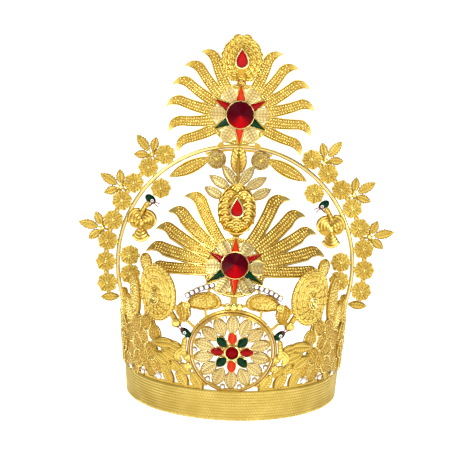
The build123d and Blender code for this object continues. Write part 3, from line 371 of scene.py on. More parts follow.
@dataclass(frozen=True)
class Wall:
    """Cone that the band and the wall follow, round one angle of it."""

    centre: float = 0.0
    radius: float = 60.0
    flare: float = 4.5
    foot: float = 17.6
    height: float = 72.0
    base: float = 0.0            # how far the work stands out of the wall

    def radius_at(self, z: float) -> float:
        """Radius of the outer face at a height."""
        return self.radius + math.tan(math.radians(self.flare)) * z

    def at(self, point: Vector) -> Vector:
        """Place in metres of a flat point.

        Args:
            point: Across the wall, up from the floor and out of the wall.

        Returns:
            The place.
        """
        reach = self.radius_at(point.y) + point.z + self.base
        share = max(-1.0, min(1.0, point.x / reach))
        angle = math.radians(self.centre) + math.asin(share)
        return Vector((reach * math.sin(angle), -reach * math.cos(angle), point.y)) * MM

    def spot(self, at: float, up: float) -> Point:
        """Flat point from an angle round the wall and a share of its height."""
        z = self.foot + up * self.height
        return self.radius_at(z) * math.sin(math.radians(at - self.centre)), z


@dataclass(frozen=True)
class Plate:
    """Leaning plate, flat or bent round an upright cylinder."""

    origin: Place
    lean: float
    rise: float = 0.0
    base: float = 0.0
    bend: float = 0.0

    def raised(self, height: float) -> "Plate":
        """Same plate with everything on it higher."""
        return replace(self, base=self.base + height)

    def at(self, point: Vector) -> Vector:
        """Place in metres of a flat point.

        Args:
            point: Across the plate, up along it and out of it.

        Returns:
            The place.
        """
        depth = point.z + self.base
        if self.bend:
            depth = math.sqrt((self.bend + depth) ** 2 - point.x ** 2) - self.bend
        lean = math.radians(self.lean)
        up = Vector((0, math.sin(lean), math.cos(lean)))
        out = Vector((0, -math.cos(lean), math.sin(lean)))
        place = Vector(self.origin) + Vector((point.x, 0, 0))
        return (place + up * (point.y + self.rise) + out * depth) * MM


def polar(radius: float, angle: float, centre: Point = (0, 0)) -> Point:
    """Point at an angle from the upward axis, turning towards +X."""
    turn = math.radians(angle)
    return centre[0] + radius * math.sin(turn), centre[1] + radius * math.cos(turn)


def axes(angle: float) -> tuple[Vector, Vector]:
    """Directions along and across a shape that points at an angle."""
    turn = math.radians(angle)
    return Vector((math.sin(turn), math.cos(turn))), Vector((math.cos(turn), -math.sin(turn)))


def arc_points(radius: float, start: float, end: float, steps: int, centre: Point = (0, 0)) -> list[Point]:
    """Points along an arc between two angles."""
    return [polar(radius, start + (end - start) * i / steps, centre) for i in range(steps + 1)]


def ring_points(radius: float, steps: int, centre: Point = (0, 0)) -> list[Point]:
    """Points round a circle, without the first one again at the end."""
    return [polar(radius, 360 * i / steps, centre) for i in range(steps)]


def oval_points(half: Point, middle: Point, turn: float, steps: int) -> list[Point]:
    """Points round an oval.

    Args:
        half: Half width and half length.
        middle: Its middle.
        turn: Angle of its length from the upward axis.
        steps: Number of points.

    Returns:
        The points, without the first one again at the end.
    """
    turned = Matrix.Rotation(-math.radians(turn), 2)
    points = []
    for i in range(steps):
        x, y = polar(1, 360 * i / steps)
        points.append(tuple(Vector(middle) + turned @ Vector((x * half[0], y * half[1]))))
    return points


@dataclass(frozen=True)
class Section:
    """Section across a shape, from its middle to its edge: place, height and tone, where the low tone in
    grooves and at the edge is painted shade.
    """

    rows: tuple[tuple[float, float, float], ...]

    @property
    def steps(self) -> int:
        """Number of steps from middle to edge."""
        return len(self.rows) - 1

    def read(self, share: float) -> tuple[float, float, float]:
        """Row at a share of the steps.

        Args:
            share: From -1 to 1, where 0 is the middle.

        Returns:
            Place with the share's sign, height and tone.
        """
        place, height, tone = self.rows[round(abs(share) * self.steps)]
        return math.copysign(place, share), height, tone


# third column: tone, low where the height dips, painted shade in the grooves and at the edge
LEAF = Section((
    (0, 1.0, 1.0), (0.1, 0.7, 0.1), (0.3, 0.86, 0.85), (0.55, 0.74, 0.8),
    (0.72, 0.48, 0.1), (0.82, 0.74, 1.0), (0.9, 0.6, 0.2), (1, 0.0, 0.0),
))
DISC = Section((
    (0, 0.85, 0.7), (0.25, 0.85, 0.7), (0.5, 0.8, 0.7), (0.7, 0.7, 0.6),
    (0.8, 0.35, 0.05), (0.87, 0.85, 1.0), (0.94, 0.7, 0.6), (1, 0.0, 0.0),
))
FEATHER = Section((
    (0, 0.6, 0.3), (0.35, 0.6, 0.2), (0.62, 0.55, 0.12), (0.8, 0.55, 0.0),
    (0.87, 0.95, 0.95), (0.95, 0.95, 1.0), (1, 0.0, 0.2),
))
PETAL = Section((
    (0, 1.0, 1.0), (0.14, 0.72, 0.25), (0.42, 0.85, 0.85), (0.7, 0.55, 0.5),
    (0.84, 0.75, 1.0), (0.93, 0.5, 0.3), (1, 0.0, 0.0),
))
# low tone all over: painted shade under and between the scales that lie on it
CORE = Section(((0, 1.0, 0.2), (0.55, 0.92, 0.15), (0.88, 0.6, 0.1), (1, 0.0, 0.0)))
# tone falls from the middle to the edge: painted shade where the dome falls away
DOME = Section(((0, 1.0, 0.9), (0.35, 0.93, 0.75), (0.65, 0.75, 0.5), (0.88, 0.42, 0.25), (1, 0.0, 0.1)))


@dataclass(frozen=True)
class Veins:
    """Ripples that slant from a midrib to the rim."""

    slant: float                 # veins that one crosses on its way to the rim
    rise: float                  # from hollow to crest, as a share of the lift
    shade: float                 # tone of the hollows, as a share of the crests' tone
    start: float                 # share of the half width where they start
    end: float = 0.8             # share of the half width where they end

    def read(self, count: int, along: float, place: float, height: float, tone: float) -> Point:
        """Height and tone with the veins added.

        Args:
            count: Number of veins.
            along: Share of the length.
            place: Share of the half width.
            height: Height without them.
            tone: Tone without them.

        Returns:
            New height and tone.
        """
        if not count or not self.start <= abs(place) < self.end:
            return height, tone
        vein = 0.5 + 0.5 * math.cos(math.tau * (count * along - self.slant * abs(place)))
        return height + self.rise * (vein - 0.5), tone * (self.shade + (1 - self.shade) * vein)


LEAF_VEINS = Veins(slant=1.1, rise=0.28, shade=0.2, start=0.05)
PETAL_VEINS = Veins(slant=0.6, rise=0.3, shade=0.25, start=0.0)

# Raised work

class Relief:
    """Raised work drawn flat in millimetres, then laid on a surface."""

    def __init__(self) -> None:
        """Start with an empty mesh."""
        self.mesh = bmesh.new()
        self.tone = self.mesh.verts.layers.float.new("tone")

    def finish(self, verts: Sequence[bmesh.types.BMVert], slot: int) -> None:
        """Set the material slot and smoothing of a new shape's faces.

        Args:
            verts: Points of the shape.
            slot: Material slot.
        """
        for face in {face for vert in verts if vert.is_valid for face in vert.link_faces}:
            face.material_index = slot
            face.smooth = True

    def patch(self, columns: int, rows: int, shape: Shape, slot: int = SHEET, sink: float = -0.15) -> None:
        """Closed shape with a flat underside, from a grid moved point by point.

        Args:
            columns: Steps over the shape's first share, from -1 to 1.
            rows: Steps over its second share, from 0 to 1.
            shape: Gives x, y, z and tone for the two shares.
            slot: Material slot.
            sink: Height of the underside.
        """
        grid = bmesh.ops.create_grid(self.mesh, x_segments=columns, y_segments=rows, size=1.0)
        for vert in grid["verts"]:
            x, y, z, tone = shape(vert.co.x, (vert.co.y + 1) / 2)
            vert.co = (x, y, z)
            vert[self.tone] = tone
        bmesh.ops.remove_doubles(self.mesh, verts=grid["verts"], dist=MERGE)
        low = [vert for vert in grid["verts"] if vert.is_valid]
        faces = list({face for vert in low for face in vert.link_faces})
        raised = bmesh.ops.extrude_face_region(self.mesh, geom=faces)["geom"]
        for vert in low:
            vert.co.z = sink
            vert[self.tone] = 0.0
        top = [item for item in raised if isinstance(item, bmesh.types.BMVert)]
        whole = list({face for vert in low + top for face in vert.link_faces})
        bmesh.ops.recalc_face_normals(self.mesh, faces=whole)
        self.finish(low + top, slot)

    def leaf(
        self, length: float, width: float, root: Point, angle: float, belly: float = 0.5, lift: float = 0.9,
        veins: int = 6, teeth: int = 0, slot: int = SHEET, section: Section = LEAF, sink: float = -0.15,
    ) -> None:
        """Pointed leaf with a midrib, slanting veins and a raised rim.

        Args:
            length: From root to tip.
            width: At the widest.
            root: Flat point of the root.
            angle: From the upward axis.
            belly: Share of the length where it is widest.
            lift: Height of the midrib.
            veins: Veins on each side.
            teeth: Teeth along each edge, or 0.
            slot: Material slot.
            section: Section across the leaf.
            sink: Height of the underside.
        """
        along_axis, across_axis = axes(angle)

        def shape(s: float, t: float) -> tuple[float, float, float, float]:
            """Point and tone at the two shares that patch gives."""
            near = t / belly if t < belly else (1 - t) / (1 - belly)
            place, height, tone = section.read(s)
            wide = width / 2 * (2 * near - near ** 2)
            if teeth:
                wide *= 1 + TOOTH_DEPTH * abs(place) * (2 * ((t * teeth) % 1.0) - 1)
            height, tone = LEAF_VEINS.read(veins, t, place, height, tone)
            flat = Vector(root) + along_axis * (t * length) + across_axis * (place * wide)
            body = min(1.0, 2.2 * near + 0.1)
            return flat.x, flat.y, lift * height * body, tone

        self.patch(2 * section.steps, max(8, 4 * veins), shape, slot, sink)

    def petal(
        self, length: float, width: float, root: Point, angle: float, lift: float = 0.8, slot: int = SHEET,
        section: Section = PETAL, steps: int = 6, narrow: float = 0.55, veins: int = 0,
    ) -> None:
        """Round-ended petal, narrower at its root.

        Args:
            length: From root to tip.
            width: At the widest.
            root: Flat point of the root.
            angle: From the upward axis.
            lift: Height of the middle.
            slot: Material slot.
            section: Section across the petal.
            steps: Rows along the petal.
            narrow: How much the root narrows, from 0 to 1.
            veins: Ripples along the petal.
        """
        along_axis, across_axis = axes(angle)

        def shape(s: float, t: float) -> tuple[float, float, float, float]:
            """Point and tone at the two shares that patch gives."""
            place, height, tone = section.read(s)
            reach = 0.5 - 0.5 * math.cos(math.pi * t)
            wide = width / 2 * math.sin(math.pi * t) * (1 - narrow * (1 - reach))
            flat = Vector(root) + along_axis * (reach * length) + across_axis * (place * wide)
            body = math.sin(math.pi * (0.12 + 0.76 * t))
            height, tone = PETAL_VEINS.read(veins, t, place, height, tone)
            return flat.x, flat.y, lift * height * body, tone

        self.patch(2 * section.steps, steps, shape, slot)

    def disc(self, half: Point, middle: Point, turn: float = 0.0, lift: float = 0.8, segments: int = 28,
             slot: int = SHEET, section: Section = DISC) -> None:
        """Oval disc with a raised rim.

        Args:
            half: Half width and half height.
            middle: Flat point of its middle.
            turn: Turn, anticlockwise.
            lift: Height of its highest ring.
            segments: Steps round it.
            slot: Material slot.
            section: Section from its middle to its edge.
        """
        turned = Matrix.Rotation(math.radians(turn), 2)

        def shape(s: float, t: float) -> tuple[float, float, float, float]:
            """Point and tone at the two shares that patch gives."""
            place, height, tone = section.read(t)
            x, y = polar(place, 180 * s)
            flat = Vector(middle) + turned @ Vector((x * half[0], y * half[1]))
            return flat.x, flat.y, lift * height, tone

        self.patch(segments, section.steps, shape, slot)

    def shell(self, size: float, root: Point, angle: float, lift: float = 0.9, spread: float = 78.0,
              ridges: int = 3, slot: int = SHEET, columns: int = 10) -> None:
        """Fan-shaped scale with concentric ridges.

        Args:
            size: From root to edge.
            root: Flat point of the root.
            angle: From the upward axis.
            lift: Height of its middle.
            spread: Half angle of the fan.
            ridges: Number of ridges.
            slot: Material slot.
            columns: Steps across the fan.
        """
        rows = 4 * ridges

        def shape(s: float, t: float) -> tuple[float, float, float, float]:
            """Point and tone at the two shares that patch gives."""
            ridge = 0.5 - 0.5 * math.cos(math.tau * (ridges * t))
            reach = size * t * (1 - SHELL_ROUND * s ** 2)
            x, y = polar(reach, angle + spread * s, root)
            edge = min(1.0, 6 * (1 - abs(s)) + 0.15) * min(1.0, 8 * (1 - t) + 0.1)
            height = lift * (0.55 + 0.45 * math.sin(math.pi * (0.2 + 0.6 * t))) * edge
            # tone low in the grooves between the ridges: painted shade
            return x, y, height + SHELL_RIDGE * lift * (ridge - 0.5) * edge, 0.1 + 0.9 * ridge

        self.patch(columns, rows, shape, slot)

    def bead(self, at: Point, radius: float, height: float = 0.0, slot: int = BRIGHT, tone: float = 1.0,
             fine: int = 1, flat: float = 1.0) -> None:
        """Round bead.

        Args:
            at: Flat point of its middle.
            radius: Its radius.
            height: Height of its middle.
            slot: Material slot.
            tone: Its tone.
            fine: Subdivisions of the ball.
            flat: Its height as a share of its width.
        """
        place = Matrix.Translation((at[0], at[1], height)) @ Matrix.Diagonal((1, 1, flat, 1))
        ball = bmesh.ops.create_icosphere(self.mesh, subdivisions=fine, radius=radius, matrix=place)
        for vert in ball["verts"]:
            vert[self.tone] = tone
        self.finish(ball["verts"], slot)

    def gem(self, at: Point, radius: float, base: float, height: float, facets: int,
            table: float = 0.5) -> None:
        """Round cut stone with a flat table.

        Args:
            at: Flat point of its middle.
            radius: Radius of its girdle.
            base: Height of its girdle.
            height: From girdle to table.
            facets: Facets round it.
            table: Radius of the table as a share of the girdle's.
        """
        place = Matrix.Translation((at[0], at[1], base + height / 2))
        cone = bmesh.ops.create_cone(
            self.mesh, cap_ends=True, segments=facets, radius1=radius, radius2=radius * table, depth=height,
            matrix=place,
        )
        self.finish(cone["verts"], slot=0)
        for vert in cone["verts"]:
            # table light and girdle dark: painted light and shade on the stone
            vert[self.tone] = 1.0 if vert.co.z > base + height / 2 else 0.0
            for face in vert.link_faces:
                face.smooth = False

    def wire(self, path: Sequence[Point], radius: float, height: float = 0.0, slot: int = BRIGHT,
             closed: bool = False, tone: float = 1.0) -> None:
        """Round wire along a flat path.

        Args:
            path: Flat points along its middle.
            radius: Radius of the wire.
            height: Height of its middle.
            slot: Material slot.
            closed: True for a path that ends where it starts, without the last point.
            tone: Its tone.
        """
        points = [Vector((x, y, height)) for x, y in path]
        count = len(points)
        frames = []
        for i, point in enumerate(points):
            before = points[i - 1] if closed or i else point
            after = points[(i + 1) % count] if closed or i < count - 1 else point
            along = (after - before).normalized()
            out = Vector((0, 0, 1))
            side = out.cross(along)
            turned = Matrix((side, out, along)).transposed().to_4x4()
            frames.append(Matrix.Translation(point) @ turned)
        start = bmesh.ops.create_circle(self.mesh, segments=WIRE_SIDES, radius=radius, matrix=frames[0])
        ring = start["verts"]
        first = list({edge for vert in ring for edge in vert.link_edges})
        edges = first
        verts = list(ring)
        for last, new in zip(frames, frames[1:]):
            raised = bmesh.ops.extrude_edge_only(self.mesh, edges=edges)["geom"]
            ring = [item for item in raised if isinstance(item, bmesh.types.BMVert)]
            edges = [item for item in raised if isinstance(item, bmesh.types.BMEdge)]
            edges = [edge for edge in edges if all(vert in ring for vert in edge.verts)]
            bmesh.ops.transform(self.mesh, matrix=new @ last.inverted(), verts=ring)
            verts += ring
        if closed:
            bmesh.ops.bridge_loops(self.mesh, edges=first + edges)
        else:
            bmesh.ops.holes_fill(self.mesh, edges=first + edges, sides=WIRE_SIDES)
        whole = list({face for vert in verts for face in vert.link_faces})
        bmesh.ops.recalc_face_normals(self.mesh, faces=whole)
        for vert in verts:
            vert[self.tone] = tone
        self.finish(verts, slot)

    def hoop(self, at: Point, reach: float, steps: int, radius: float, height: float, slot: int = BRIGHT,
             tone: float = 1.0) -> None:
        """Round wire in a full circle.

        Args:
            at: Flat point of its middle.
            reach: Radius of the circle.
            steps: Steps round the circle.
            radius: Radius of the wire.
            height: Height of the wire's middle.
            slot: Material slot.
            tone: Its tone.
        """
        self.wire(ring_points(reach, steps, at), radius, height, slot, True, tone)

    def granules(self, half: Point, middle: Point, turn: float, size: float, pitch: float,
                 height: float = 0.6) -> None:
        """Field of small beads over an oval.

        Args:
            half: Half sizes of the field.
            middle: Flat point of its middle.
            turn: Turn of the oval, anticlockwise.
            size: Radius of a bead.
            pitch: From one bead to the next.
            height: Height of their middles.
        """
        turned = Matrix.Rotation(math.radians(turn), 2)
        small, large = GRANULE_SIZES
        count = round(math.pi * half[0] * half[1] / (0.9 * pitch ** 2))
        for i in range(count):
            reach = math.sqrt((i + 0.5) / count)
            angle = i * GOLDEN_ANGLE
            flat = turned @ Vector((half[0] * reach * math.cos(angle), half[1] * reach * math.sin(angle)))
            own = size * (small + (large - small) * ((i * 7) % 5) / 4)
            self.bead(tuple(Vector(middle) + flat), own, height, flat=0.8)

    def place(self, name: str, surface: Surface, finishes: Sequence[Gold | Gloss] = GOLD_FINISHES,
              slot: str = "gold", nodes: Sequence[str] = (), mirrored: bool = False) -> None:
        """Lay the work on a surface and make its object.

        Args:
            name: Name of the piece.
            surface: What it lies on.
            finishes: Finish of each material slot.
            slot: Not used.
            nodes: Frame nodes that it stands for.
            mirrored: True for the left-hand copy.
        """
        work = self.mesh.copy()
        for vert in work.verts:
            vert.co = surface.at(vert.co)
        if mirrored:
            bmesh.ops.scale(work, vec=(-1, 1, 1), verts=work.verts)
            bmesh.ops.reverse_faces(work, faces=work.faces)
        for edge in work.edges:
            if len(edge.link_faces) == 2 and edge.calc_face_angle() > SHARP_ANGLE:
                edge.smooth = False
        mesh = bpy.data.meshes.new(name)
        work.to_mesh(mesh)
        work.free()
        piece = bpy.data.objects.new(name, mesh)
        bpy.context.scene.collection.objects.link(piece)
        for finish in finishes:
            mesh.materials.append(PALETTE.of(finish))
        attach(piece, "root")
        if nodes:
            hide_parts(*nodes)
        log.info("%s: %d faces", name, len(mesh.polygons))

    def place_pair(self, name: str, surface: Surface, finishes: Sequence[Gold | Gloss] = GOLD_FINISHES,
                   slot: str = "gold", node: str = "") -> None:
        """Lay the right-hand work and its mirror image.

        Args:
            name: Name without the side.
            surface: What the right-hand piece lies on.
            finishes: Finish of each material slot.
            slot: Material slot of the record.
            node: Node that each stands for, without the side, or nothing.
        """
        for side, mirrored in (("right", False), ("left", True)):
            nodes = [f"{node}_{side}"] if node else []
            self.place(f"{name}_{side}", surface, finishes, slot, nodes, mirrored)


# Sub-assemblies

FRONT = Wall()
LOW_FAN = Plate(origin=(0, -50.79, 86.39), lean=33.0, bend=72.0)
HALO = Plate(origin=(0, -15.846, 80.04), lean=8.0)
TOP_FAN = replace(HALO, rise=84.9, base=2.9)
MEDAL_CENTRE = (0.0, 40.6)   # flat point of the medallion's middle
MEDAL_WIRE = 24.35           # radius of the wire round the medallion


@dataclass
class Band:
    """Half ring woven in rows, open at the back."""

    height: float = 17.4
    wall: float = 1.5
    rows: int = 10
    weave: float = 1.62          # length of a stitch
    row_height: float = 0.42
    stitch_height: float = 0.2
    steps: int = 468
    edge_pitch: float = 1.25
    edge_bead: float = 0.55
    edge_bead_at: Point = (0.5, 0.62)    # out of the wall and up from the floor
    base_out: float = 0.35       # how far the woven face stands out of the wall
    edge: float = 0.5            # plain strip below the first row and above the last
    profile: tuple[Point, ...] = ((0.0, 0.25), (0.25, 0.8), (0.5, 1.0), (0.75, 0.8))
                                 # shares up a row and of its height
    # dark tone of the plain strips below and above the rows: painted shade
    strip_tone: float = 0.2
    back_tone: float = 0.6
    face_tones: tuple[float, float, float] = (0.15, 0.65, 0.25)
                                 # in the seams, added on the crests, and by the stitches; the low tone in the
                                 # seams is painted shade
    wall_surface: Wall = FRONT

    def build(self) -> None:
        """Spin the band's section round and raise its stitches."""
        work = Relief()
        mesh = work.mesh
        radius = self.wall_surface.radius
        pitch = (self.height - 2 * self.edge) / self.rows
        outline = [(-self.wall, 0.0), (self.base_out, 0.0), (self.base_out, self.edge)]
        for row in range(self.rows):
            for part, rise in self.profile:
                outline.append((self.base_out + self.row_height * rise, self.edge + pitch * (row + part)))
        outline += [
            (self.base_out, self.height - 0.9 * self.edge), (self.base_out - 0.05, self.height),
            (-self.wall, self.height),
        ]
        slope = math.tan(math.radians(self.wall_surface.flare))
        ring = [mesh.verts.new((radius + out + slope * up, 0, up)) for out, up in outline]
        edges = [mesh.edges.new((a, b)) for a, b in zip(ring, ring[1:] + ring[:1])]
        spun = bmesh.ops.spin(
            mesh, geom=ring + edges, cent=(0, 0, 0), axis=(0, 0, -1), angle=math.pi, steps=self.steps,
            use_merge=False,
        )
        ends = edges + [item for item in spun["geom_last"] if isinstance(item, bmesh.types.BMEdge)]
        bmesh.ops.holes_fill(mesh, edges=ends, sides=0)
        bmesh.ops.recalc_face_normals(mesh, faces=mesh.faces)
        for vert in mesh.verts:
            self.stitch(vert, work.tone, pitch, slope)
        work.finish(list(mesh.verts), SHEET)
        self.edge_beads(work)
        for vert in mesh.verts:
            vert.co = self.unlaid(vert.co)
        work.place("woven_band", self.wall_surface, (Gold.WOVEN, Gold.BRIGHT), "gold", ["base_band"])

    def stitch(
        self, vert: bmesh.types.BMVert, tone: bmesh.types.BMLayerItem, pitch: float, slope: float,
    ) -> None:
        """Raise one point of the woven face by its stitch.

        Args:
            vert: Point to move.
            tone: Layer of the tone.
            pitch: Height of a row.
            slope: Rise of the radius with height.
        """
        reach = math.hypot(vert.co.x, vert.co.y)
        out = reach - self.wall_surface.radius - slope * vert.co.z
        if out < self.base_out + 0.01:
            vert[tone] = self.back_tone if out < 0 else self.strip_tone
            return
        level = (vert.co.z - self.edge) / pitch
        row = math.floor(level + 0.001)
        slant = (level - row) * (1 if row % 2 else -1)
        along = math.atan2(vert.co.x, -vert.co.y) * self.wall_surface.radius / self.weave
        stitch = math.cos(math.tau * (along + 0.5 * slant))
        crest = (out - self.base_out) / self.row_height
        seam, raised, woven = self.face_tones
        # tone low in the seams and between stitches: painted shade
        vert[tone] = max(0.0, min(1.0, seam + raised * crest + woven * stitch * crest))
        grown = (reach + self.stitch_height * stitch * crest) / reach
        vert.co.x *= grown
        vert.co.y *= grown

    def edge_beads(self, work: Relief) -> None:
        """Row of small beads along the band's foot, already in round places.

        Args:
            work: Work to add them to.
        """
        out, up = self.edge_bead_at
        radius = self.wall_surface.radius + out
        count = int(math.pi * radius / self.edge_pitch)
        for i in range(count + 1):
            angle = math.radians(-90 + 180 * i / count)
            place = Matrix.Translation((radius * math.sin(angle), -radius * math.cos(angle), up))
            ball = bmesh.ops.create_icosphere(work.mesh, subdivisions=1, radius=self.edge_bead, matrix=place)
            for vert in ball["verts"]:
                vert[work.tone] = 0.8
            work.finish(ball["verts"], BRIGHT)

    def unlaid(self, point: Vector) -> Vector:
        """Flat point that the wall's surface takes back to a round place.

        Args:
            point: The round place in millimetres.

        Returns:
            The flat point.
        """
        reach = math.hypot(point.x, point.y)
        flat = reach * math.sin(math.atan2(point.x, -point.y))
        return Vector((flat, point.z, reach - self.wall_surface.radius_at(point.z)))


@dataclass
class Medallion:
    """Round openwork plate with leaves, enamel petals and stones."""

    radius: float = 23.0
    rim: float = 1.3
    rim_wires: Point = (0.3, 1.2)    # how far its two wires lie inside the edge
    leaves: int = 14
    leaf_inner: float = 9.9
    leaf_width: float = 7.7
    petal_inner: float = 4.7
    petal_outer: float = 11.8
    petal_width: float = 4.7
    overlap: float = 0.55            # how far the enamel swells over its cell's edge
    petal_points: int = 20           # points of a petal's outline
    seam: float = 23.6               # radius of the thin wire between plate and panels
    stone: float = 7.4
    stone_tone: float = 0.35
    crystal: float = 1.3
    crystal_in: float = 2.05         # how far the crystals' middles lie inside the edge
    colours: tuple[Gloss, ...] = (
        Gloss.ORANGE, Gloss.GREEN, Gloss.RED, Gloss.GREEN, Gloss.ORANGE, Gloss.GREEN, Gloss.RED, Gloss.GREEN,
    )

    def build(self) -> None:
        """Lay the gold work, the enamel and the stones."""
        work = Relief()
        for inset in self.rim_wires:
            reach = self.radius - inset
            work.hoop(MEDAL_CENTRE, reach, steps=72, radius=0.26, height=0.5, slot=SHELLS, tone=0.5)
        # dark tone on the wire in the gap between plate and panels: painted shade
        work.hoop(MEDAL_CENTRE, self.seam, steps=72, radius=0.42, height=-0.2, slot=SHELLS, tone=0.1)
        for i in range(self.leaves):
            angle = 360 * i / self.leaves
            length = self.radius - self.rim - self.leaf_inner
            root = polar(self.leaf_inner, angle, MEDAL_CENTRE)
            work.leaf(length, self.leaf_width, root, angle, belly=0.55, lift=1.0, veins=8, slot=LACE)
        for i in range(len(self.colours)):
            work.wire(self.petal_path(self.petal_angle(i)), radius=0.2, height=0.3, closed=True)
        work.hoop(MEDAL_CENTRE, self.stone / 2 + 0.3, steps=24, radius=0.3, height=1.5)
        work.place("medallion_work", FRONT)
        for colour in (Gloss.ORANGE, Gloss.RED, Gloss.GREEN):
            self.build_enamel(colour)
        stones = Relief()
        for i in range(self.leaves):
            at = polar(self.radius - self.crystal_in, 360 * (i + 0.5) / self.leaves, MEDAL_CENTRE)
            stones.gem(at, self.crystal, base=0.2, height=1.5, facets=8)
        stones.place(
            "medallion_crystals", FRONT, (Gloss.CRYSTAL,), "white_crystal", ["medallion_rhinestones"],
        )
        stone = Relief()
        stone.gem(MEDAL_CENTRE, self.stone / 2, base=0.2, height=2.4, facets=12, table=0.4)
        for vert in stone.mesh.verts:
            vert[stone.tone] = self.stone_tone
        stone.place("medallion_cut_stone", FRONT, (Gloss.GARNET,), "dark_red_stone", ["medallion_stone"])

    @property
    def petal_size(self) -> Point:
        """Length and width of an enamel petal."""
        return self.petal_outer - self.petal_inner + 2 * self.overlap, self.petal_width + self.overlap

    def petal_angle(self, order: int) -> float:
        """Angle of a petal from its order round the stone."""
        return 360 / len(self.colours) * order

    def petal_path(self, angle: float) -> list[Point]:
        """Outline of one enamel petal.

        Args:
            angle: Angle of the petal.

        Returns:
            Points from its root up one side and down the other.
        """
        length, width = self.petal_size
        turn = math.radians(angle)
        top = self.petal_points // 2
        path = []
        for i in range(self.petal_points):
            t = i / top if i <= top else (self.petal_points - i) / top
            side = 1 if i <= top else -1
            wide = side * width / 2 * 4 * t * (1 - t)
            x, y = polar(self.petal_inner - self.overlap + t * length, angle, MEDAL_CENTRE)
            path.append((x + wide * math.cos(turn), y - wide * math.sin(turn)))
        return path

    def build_enamel(self, colour: Gloss) -> None:
        """Lay all petals of one colour.

        Args:
            colour: The enamel.
        """
        work = Relief()
        length, width = self.petal_size
        for i, own in enumerate(self.colours):
            if own is colour:
                angle = self.petal_angle(i)
                root = polar(self.petal_inner - self.overlap, angle, MEDAL_CENTRE)
                work.leaf(length, width, root, angle, lift=1.5, veins=2, section=DOME)
        name = colour.name.lower()
        work.place(
            f"medallion_enamel_{name}", FRONT, (colour,), f"{name}_enamel", [f"medallion_petals_{name}"],
        )


@dataclass
class Crest:
    """Beads, horn-shaped filigree and stone rails above the medallion."""

    horn: Point = (10.4, 5.1)
    horn_angle: float = 15.2
    horn_level: float = 69.4
    horn_turn: float = -12.0
    bead_level: float = 67.3
    bead_pitch: float = 3.5
    rail_radius: float = 40.5
    rail_from: float = 15.5
    rail_to: float = 41.5
    rail_stones: int = 6
    rail_half: float = 1.35      # from the middle of the rail to each of its wires
    crystal: float = 1.5

    def build(self) -> None:
        """Lay the crest's work on the wall."""
        work = Relief()
        path = arc_points(MEDAL_WIRE, -50, 50, 40, MEDAL_CENTRE)
        work.wire(path, radius=0.4, height=0.3, slot=SHELLS, tone=0.6)
        for i, radius in ((-1, 2.0), (0, 2.3), (1, 2.0)):
            work.bead((i * self.bead_pitch, self.bead_level), radius, height=0.5, fine=2, tone=0.9)
        for side in (-1, 1):
            self.lay_horn(work, side)
            for out, slot in ((-self.rail_half, DARK), (self.rail_half, BRIGHT)):
                start, end = side * self.rail_from, side * self.rail_to
                path = arc_points(self.rail_radius + out, start, end, 24, MEDAL_CENTRE)
                work.wire(path, radius=0.22, height=0.5, slot=slot)
        stones = Relief()
        step = (self.rail_to - self.rail_from) / self.rail_stones
        for i in range(self.rail_stones):
            angle = self.rail_from + step * (i + 0.5)
            at = polar(self.rail_radius, angle, MEDAL_CENTRE)
            stones.gem(at, self.crystal, base=0.1, height=1.7, facets=8, table=0.6)
            for side in (-1, 1):
                at = polar(self.rail_radius, side * angle, MEDAL_CENTRE)
                work.hoop(at, self.crystal + 0.1, steps=12, radius=0.2, height=0.4, slot=DARK)
        work.place("crest_work", FRONT)
        stones.place_pair("crest_crystals", FRONT, (Gloss.CRYSTAL,), "white_crystal", "crest_stones")

    def lay_horn(self, work: Relief, side: int) -> None:
        """Curved filigree horn with a curled outer end.

        Args:
            work: Work to add it to.
            side: 1 for the right and -1 for the left.
        """
        x = side * FRONT.radius_at(self.horn_level) * math.sin(math.radians(self.horn_angle))
        turn = math.radians(side * self.horn_turn)

        def shape(s: float, t: float) -> tuple[float, float, float, float]:
            """Point and tone at the two shares that patch gives."""
            place, height, tone = DISC.read(t)
            across, up = polar(place, 180 * s)
            narrow = 1 - 0.34 * across
            droop = -0.16 * self.horn[0] * across ** 2
            flat = Vector((side * across * self.horn[0], up * narrow * self.horn[1] + droop))
            flat = Matrix.Rotation(turn, 2) @ flat
            return x + flat.x, self.horn_level + flat.y, height, tone

        work.patch(40, DISC.steps, shape, FILIGREE)
        inner = (self.horn[0] * 0.62, self.horn[1] * 0.5)
        work.granules(inner, (x, self.horn_level - 0.5), math.degrees(turn), size=0.45, pitch=1.25)
        curl = (x + side * self.horn[0] * 0.86, self.horn_level - 3.0)
        work.disc((1.9, 1.9), curl, lift=1.6, segments=14, section=DOME)
        work.hoop(curl, 1.7, steps=12, radius=0.3, height=1.1)


@dataclass(frozen=True)
class DiscRow:
    """One oval disc of a panel, as angles and shares of the wall's height."""

    at: float
    up: float
    wide: float
    tall: float
    turn: float = 0.0
    kind: str = "leaf"


